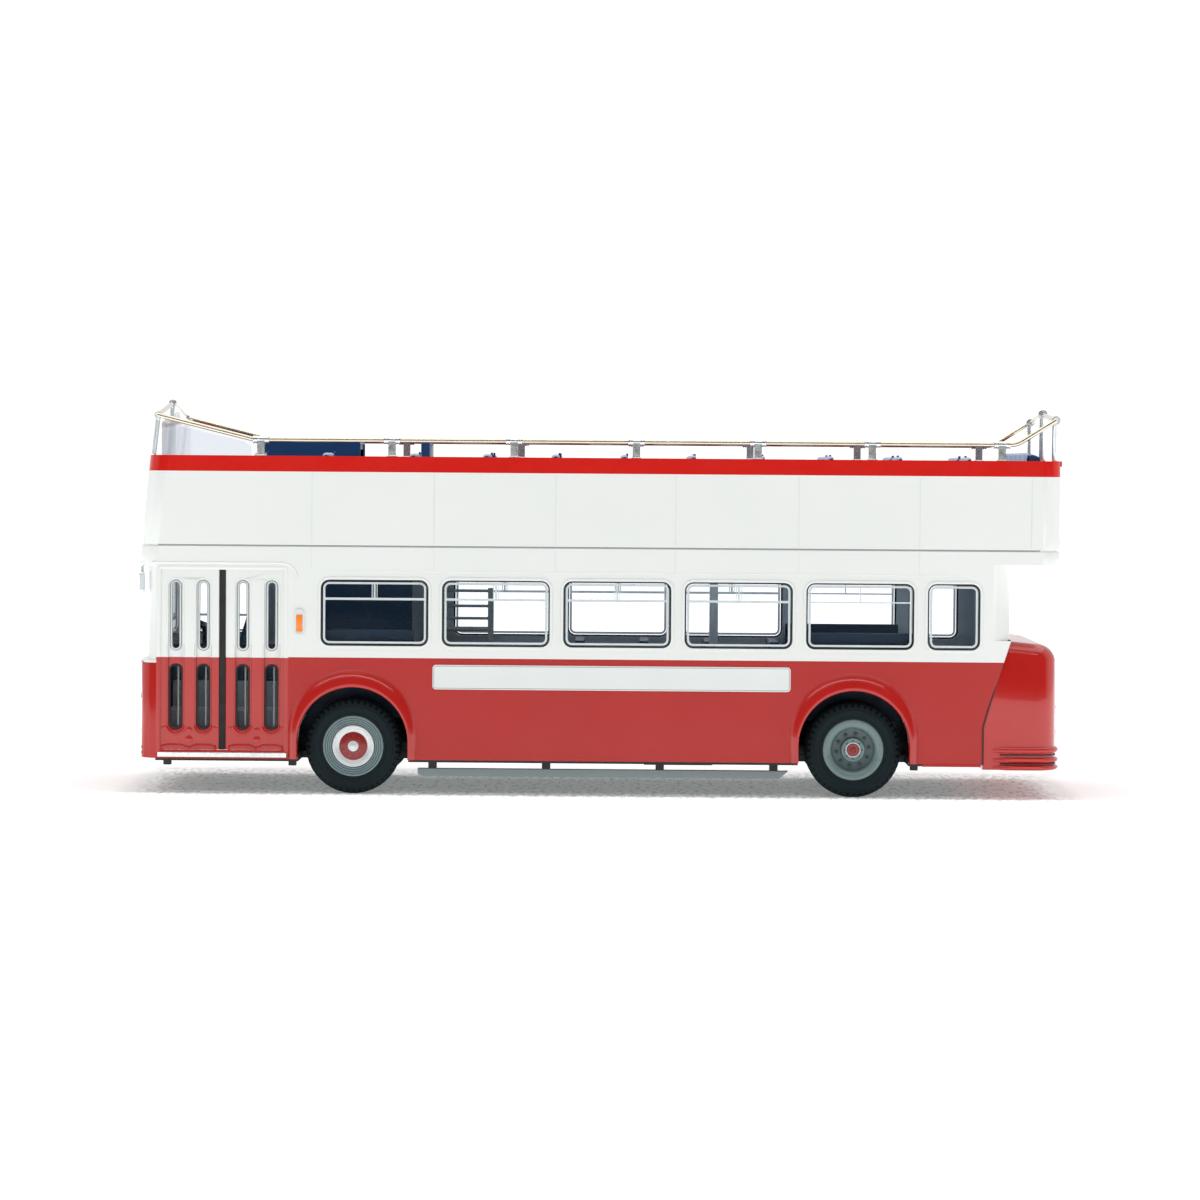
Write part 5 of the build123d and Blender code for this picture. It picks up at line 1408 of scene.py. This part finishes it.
def addRearBench():
    v = upperValues
    (x0, x1), cushion, head, floor = v["benchX"], v["cushion"], v["benchHead"], v["floor"]
    base, pads = bmesh.new(), bmesh.new()
    shape = [
        (x0 + 0.4, floor + 0.02), (x0, cushion), (x0 + 3.4, cushion), (x0 + 4.3, head - 0.15),
        (x0 + 4.9, head), (x1, head - 0.35), (x1, floor + 0.02),
    ]
    seat = [
        (x0 + 0.1, cushion - 0.05), (x0 + 0.15, cushion + 0.6), (x0 + 0.8, cushion + 0.8),
        (x0 + 3.3, cushion + 0.7), (x0 + 3.4, cushion - 0.05),
    ]
    back = [
        (x0 + 3.25, cushion + 0.9), (x0 + 4.0, head - 0.1), (x0 + 4.6, head + 0.02), (x0 + 4.7, head - 0.5),
        (x0 + 3.75, cushion + 0.9),
    ]
    addSlab(base, roundedPath(shape, 0.5, 5), -v["wall"], v["wall"], 0.3)
    edges = span(-v["wall"], v["wall"], v["benchPads"])
    for a, b in zip(edges, edges[1:]):
        addSlab(pads, roundedPath(seat, 0.35), a + 0.14, b - 0.14, 0.3, 0.05)
        addSlab(pads, roundedPath(back, 0.3), a + 0.14, b - 0.14, 0.3, 0.04)
    makePiece("rear_bench_moulding", base, paint["navy"], standsFor=("rear_bench",))
    makePiece("rear_bench_cushions", pads, paint["blueLitTop"])


def addStairHood():
    v = upperValues
    (x0, x1), (y0, y1), top, floor, wall = v["hoodX"], v["hoodY"], v["hoodTop"], v["floor"], v["hoodWall"]
    bm = bmesh.new()
    # two side walls, and between them a roof and front, open at its rear and hollow below
    outer = [(x0, floor), (x0, top - 0.5), (x0 + 0.45, top), (x1, top), (x1, floor)]
    inner = [(x0 + wall, floor), (x0 + wall, top - 1.5), (x0 + 1.4, top - wall)]
    inner += [(x1, top - wall), (x1, floor)]
    outer, inner = (roundedPath(loop, 0.3, closed=False) for loop in (outer, inner))
    skins = ((outer, y0, y0 + wall), (outer, y1 - wall, y1), (outer + inner[::-1], y0 + wall, y1 - wall))
    for loop, *ends in skins:
        addGrid(bm, [[Vector((p[0], y, p[1])) for p in loop] for y in ends])
    # rolled edge round the opening and strengthening ribs along the roof
    near, far, low, high = y0 + 0.4, y1 - 0.4, floor + 0.3, top - 0.3
    corners = ((near, low), (near, high), (far, high), (far, low))
    addTube(bm, [(x1 - 0.05, y, z) for y, z in corners], 0.3, 10)
    for y in v["hoodRibs"]:
        addTube(bm, [(x0 + 1.4, y, top - 0.06), (x1 - 1.2, y, top - 0.06)], 0.16, 8)
    front, rear = v["endPanel"]
    addBox(bm, (front, y0, floor), (rear, y1, top - 0.1), 0.2)
    makePiece("stair_hood_moulding", bm, paint["navy"], standsFor=("stair_hood",))


def addDeckFloor():
    # tread ribs along the gangway and a cove along both walls of the deck
    v = upperValues
    bm = bmesh.new()
    x0, x1 = v["treadX"]
    for i in range(v["treads"]):
        y = (i - (v["treads"] - 1) / 2) * v["treadPitch"]
        addPlate(bm, strip((x0, y), (x1, y), 0.24), onPlane(2, v["floor"]), -0.02, 0.1, 0.05)
    for side in sides.values():
        addTube(bm, [(x, side * v["coveY"], v["floor"] + 0.1) for x in v["coveX"]], 0.24, 8)
    makePiece("upper_gangway_ribs", bm, paint["navy"])


addUpperSeats()
addRearBench()
addStairHood()
addDeckFloor()
print("upper deck furnished")


# Top rails: rings at the ends of each clamp, capped finials and post feet
railValues = {
    "posts": (-44.1, -27.06, -11.17, 4.72, 20.52, 35.35, 52.2),
    "side": 15.55,
    "height": 46.2,
    "rings": (-0.95, -0.62, 0.62, 0.95),  # along the rail from the post
    "ring": ((-0.11, 0.4), (-0.08, 0.5), (0.0, 0.53), (0.08, 0.5), (0.11, 0.4)),
    "foot": 44.1,
    # X, height at the corners and in the middle, radius
    "ends": ((-57.6, 49.3, 51.1, 0.45), (59.2, 49.4, 50.4, 0.56)),
    "endY": 14.75,
    "collar": ((-0.1, 0.8), (-0.07, 1.02), (0.07, 1.02), (0.1, 0.8)),
}


def addRailFittings():
    v = railValues
    bm = bmesh.new()
    for side in sides.values():
        y = side * v["side"]
        for x in v["posts"]:
            for dx in v["rings"]:
                addLathe(bm, (x + dx, y, v["height"]), v["ring"], "X", 24, closed=True)
            # foot plate under the clamp
            addPlate(bm, roundedRect(x, y, 1.35, 1.0, 0.25), onPlane(2, v["foot"]), -0.05, 0.14, 0.05)
    for x, corner, middle, r in v["ends"]:
        collar = [(along, r * share) for along, share in v["collar"]]
        for hand, z in ((-1, corner), (0, middle), (1, corner)):
            for dy in (-0.5, 0.5):
                # at a corner the outer collar stands at the end of the rail
                reach = 0.0 if dy * hand > 0 else dy
                addLathe(bm, (x, hand * v["endY"] + reach, z), collar, "Y", 24, closed=True)
    makePiece("rail_clamp_rings", bm, paint["silver"])


addRailFittings()
print("rails fitted")


# Front: windscreen rims and wipers, lamp bezels, display frame, mouldings and plate
frontValues = {
    "panes": ((-12.3, -0.6), (0.6, 12.3)),
    "paneZ": (19.4, 28.1),
    "paneX": -58.62,
    "corner": 1.15,
    "rim": 0.32,
    "bow": (-59.2, 0.5, 16.2),  # X of the panel's middle, and how far back it bows at this half width
    "wiperX": -59.3,
    "wiperPivot": ((-0.12, 0.02), (-0.12, 0.3), (0.2, 0.34), (0.2, 0.02)),
    # Y is counted from the middle of the pane
    "wiperArm": ((-59.42, 1.6, 19.05), (-59.35, -0.3, 21.825), (-59.0, -2.2, 24.6)),
    "wiperBlade": ((-58.95, -1.45, 22.0), (-58.98, -2.2, 24.6), (-58.95, -2.9, 27.0)),
    "lamps": ((12.2, 1.35), (7.7, 0.95)),  # height, radius
    "lampX": -60.0,
    "lampY": 11.2,
    "bezel": ((0.35, 1.0), (-0.02, 1.0), (-0.1, 0.96), (-0.12, 0.88), (-0.06, 0.8), (0.35, 0.8)),
    "glass": ((0.3, 0.84), (-0.02, 0.82), (-0.1, 0.6), (-0.15, 0.3), (-0.165, 0.0), (0.3, 0.0)),
    "redBeads": ((17.05, 0.16, 15.0), (5.9, 0.14, 14.6), (5.2, 0.14, 14.6)),  # height, radius, half length
    "whiteBead": (30.1, 0.14, 14.0),
    "display": (0, 37.7, 17.8, 4.8, 0.6),  # Y, Z, width, height, corner
    "displayLine": (0, 37.7, 16.4, 3.4, 0.3),
    "displayBar": ((-3.2, 36.05), (-3.2, 39.35), 0.14),
    "displayX": -59.4,
    "plate": (0, 7.3, 6.4, 1.4, 0.15),
    "plateX": -60.18,
}
rearValues = {
    "window": (0, 25.1, 20.0, 6.4, 1.15),  # Y, Z, width, height, corner
    "wall": 53.6,
    "pane": 53.5,
    "mullion": ((0, 22.2), (0, 28.0), 0.3),
    "joints": (-5.6, 5.6),
    "jointZ": (33.0, 41.6),
    "beads": ((33.4, 0.13), (41.85, 0.1)),
    "beadHalf": 13.6,
}
offsideValues = {
    "wall": 16.2,
    # X, Z, width, height, corner
    "lockers": ((-11.0, 8.4, 9.0, 4.6, 0.4), (8.0, 8.4, 11.0, 4.6, 0.4), (44.6, 9.6, 5.2, 5.0, 0.4)),
    "lock": ((-0.05, 0.34), (0.07, 0.3), (0.1, 0.02)),
    "grille": (44.6, 7.9, 3.8, 0.26, 0.12),
    "slats": 6,
    "slatPitch": 0.62,
    "cabDoor": (-51.9, 22.9, 10.2, 11.2, 1.3),
    "cabLock": (-47.6, 16.2, 18.3),
    "cabButton": ((-0.05, 0.3), (0.1, 0.26), (0.12, 0.02)),
}


def bowed(p, out=0.0):
    # lays flat coordinates on the bowed front panel
    middle, back, half = frontValues["bow"]
    return Vector((middle + back * (p[0] / half) ** 2 - out, p[0], p[1]))


def subdivided(outline, step):
    # the outline with its points no further apart than about step mm
    out = []
    for i, p in enumerate(outline):
        a, b = Vector(p), Vector(outline[(i + 1) % len(outline)])
        count = max(1, int((b - a).length / step))
        out += [tuple(a.lerp(b, k / count)) for k in range(count)]
    return out


def addWindscreen():
    v = frontValues
    z0, z1 = v["paneZ"]
    rims, gaskets, lines, wipers = (bmesh.new() for _ in range(4))
    for y0, y1 in v["panes"]:
        middle, level, r = (y0 + y1) / 2, (z0 + z1) / 2, v["rim"]
        opening = roundedRect(middle, level, y1 - y0, z1 - z0, v["corner"])
        rim = roundedRect(middle, level, y1 - y0 + 2 * r, z1 - z0 + 2 * r, v["corner"] + r)
        addFrame(rims, rim, bowed, rimProfile(r + 0.04, 0.14))
        addFrame(gaskets, opening, onEnd(v["paneX"]), bandProfile(0.3, 0.07))
        addFrame(lines, insetLoop(opening, 0.4), onEnd(v["paneX"]), bandProfile(0.28, 0.05))
        arm, blade = ([(x, middle + y, z) for x, y, z in v[name]] for name in ("wiperArm", "wiperBlade"))
        addLathe(wipers, (v["wiperX"], *arm[0][1:]), v["wiperPivot"], "X", 16)
        addTube(wipers, arm, 0.09, 8)
        addTube(wipers, blade, 0.1, 8)
    makePiece("windscreen_rims", rims, paint["white"])
    makePiece("windscreen_gaskets", gaskets, paint["black"])
    makePiece("windscreen_lines", lines, paint["silverInkAndGlow"])
    makePiece("windscreen_wipers", wipers, paint["black"])


def addHeadlamps():
    v = frontValues
    lenses, bezels = bmesh.new(), bmesh.new()
    for side in sides.values():
        for z, r in v["lamps"]:
            centre = (v["lampX"], side * v["lampY"], z)
            for bm, shape, steps in ((bezels, v["bezel"], 48), (lenses, v["glass"], 40)):
                profile = [(out, max(0.02, r * share)) for out, share in shape]
                addLathe(bm, centre, profile, "X", steps, closed=True)
    makePiece("headlamp_bezels", bezels, paint["chrome"])
    makePiece("headlamp_lenses", lenses, paint["lampGlass"], standsFor=("headlights",))


def addFrontPanel():
    v = frontValues
    lower = against("lower_body", 0, -1, -59.0)
    upper = against("upper_body", 0, -1, -59.4)
    red, white, plate, display = (bmesh.new() for _ in range(4))
    for bm, beads in ((red, v["redBeads"]), (white, (v["whiteBead"],))):
        for z, r, half in beads:
            addBead(bm, [(y, z) for y in span(-half, half, 24)], lower, r)
    addFrame(white, subdivided(roundedRect(*v["display"]), 1.2), upper, rimProfile(0.42, 0.16))
    # blank number plate and the blank strip of the route display
    addPlate(plate, roundedRect(*v["plate"]), onEnd(v["plateX"]), -0.1, 0.14, 0.04)
    addFrame(display, roundedRect(*v["displayLine"]), onEnd(v["displayX"]), bandProfile(0.14, 0.05))
    addPlate(display, strip(*v["displayBar"]), onEnd(v["displayX"]), -0.02, 0.05)
    makePiece("front_panel_beads", red, paint["red"])
    makePiece("front_white_mouldings", white, paint["white"])
    makePiece("front_number_plate", plate, paint["palePrint"])
    makePiece("destination_display_frame", display, paint["silverInkAndGlow"])


def addRear():
    # rear window rim, gasket and printed line; joints and beads of the panels over it
    v = rearValues
    wall, pane, back = onEnd(v["wall"]), onEnd(v["pane"]), against("upper_body", 0, 1, 60.0)
    rims, gaskets, lines, joints, beads = (bmesh.new() for _ in range(5))
    opening = roundedRect(*v["window"])
    addFrame(rims, insetLoop(opening, -0.36), wall, rimProfile(0.4, 0.15))
    addFrame(gaskets, opening, pane, bandProfile(0.3, 0.06))
    addFrame(lines, insetLoop(opening, 0.4), pane, bandProfile(0.28, 0.05))
    addPlate(lines, strip(*v["mullion"]), pane, -0.02, 0.08, 0.03)
    for y in v["joints"]:
        addJoint(joints, back, y, 0.05, v["jointZ"], 6)
    for z, r in v["beads"]:
        addBead(beads, [(y, z) for y in span(-v["beadHalf"], v["beadHalf"], 20)], back, r)
    makePiece("rear_window_rim", rims, paint["white"])
    makePiece("rear_window_gasket", gaskets, paint["black"])
    makePiece("rear_window_line", lines, paint["silverInkAndGlow"])
    makePiece("rear_panel_joints", joints, paint["seam"])
    makePiece("rear_panel_beads", beads, paint["white"])


def addOffside():
    # lockers with their locks and a slatted grille, and the cab door
    v = offsideValues
    place = onSide(v["wall"])
    lockers, cab = bmesh.new(), bmesh.new()
    for x, z, wide, high, r in v["lockers"]:
        addFrame(lockers, roundedRect(x, z, wide, high, r), place, rimProfile(0.22, 0.07))
        addLathe(lockers, (x + wide / 2 - 0.9, v["wall"], z), v["lock"], "Y", 16)
    x, z, *size = v["grille"]
    for i in range(v["slats"]):
        addPlate(lockers, roundedRect(x, z + i * v["slatPitch"], *size), place, -0.02, 0.1, 0.05)
    addFrame(cab, roundedRect(*v["cabDoor"]), place, rimProfile(0.2, 0.06))
    addLathe(cab, v["cabLock"], v["cabButton"], "Y", 16)
    makePiece("offside_lockers", lockers, paint["red"])
    makePiece("cab_door_joint", cab, paint["white"])


addWindscreen()
addHeadlamps()
addFrontPanel()
addRear()
addOffside()
print("ends and offside trimmed")


# Underside: screw heads, the ribs of the chassis moulding and the deeper skirt behind the
# rear wheels
underValues = {
    "screwX": (-44.0, 44.0),
    "screwZ": 4.25,
    "screw": ((0.0, 0.02), (-0.1, 0.7), (0.0, 0.98), (0.5, 1.0), (0.5, 0.02)),
    "slot": 0.62,  # half length of each arm of the cross
    "slotZ": 4.16,
    "slotTurn": 0.3,
    "base": 4.2,
    "longRibs": ((-20.0, 22.0), (-8.2, 8.2)),  # ends in X, the places in Y
    # places in X, half length
    "crossRibs": (((-19.0, -15.5, 15.5, 19.0), 7.6), ((-51.0, -48.5, 38.9, 41.0), 9.0)),
    "skirtX": (42.2, 49.86),
    "skirtY": (15.8, 16.18),
    "skirtZ": (4.24, 4.66),
}


def addUnderside():
    v = underValues
    screws, ribs, skirt = (bmesh.new() for _ in range(3))
    for x in v["screwX"]:
        addLathe(screws, (x, 0.0, v["screwZ"]), v["screw"], "Z", 32, closed=True)
        for turn in (v["slotTurn"], v["slotTurn"] + math.pi / 2):
            dx, dy = v["slot"] * math.cos(turn), v["slot"] * math.sin(turn)
            addTube(screws, [(x - dx, -dy, v["slotZ"]), (x + dx, dy, v["slotZ"])], 0.12, 6)
    below = onPlane(2, v["base"], -1)
    (x0, x1), places = v["longRibs"]
    for y in places:
        addPlate(ribs, strip((x0, y), (x1, y), 0.7), below, -0.02, 0.3, 0.1)
    for places, half in v["crossRibs"]:
        for x in places:
            addPlate(ribs, strip((x, -half), (x, half), 0.5), below, -0.02, 0.25, 0.1)
    (x0, x1), (z0, z1) = v["skirtX"], v["skirtZ"]
    for side in sides.values():
        y0, y1 = sorted(side * y for y in v["skirtY"])
        addBox(skirt, (x0, y0, z0), (x1, y1, z1), 0.06)
    makePiece("base_screw_heads", screws, paint["steel"])
    makePiece("chassis_ribs", ribs, paint["black"])
    makePiece("rear_skirt_edges", skirt, paint["lowerShell"])


addUnderside()
print("underside finished")
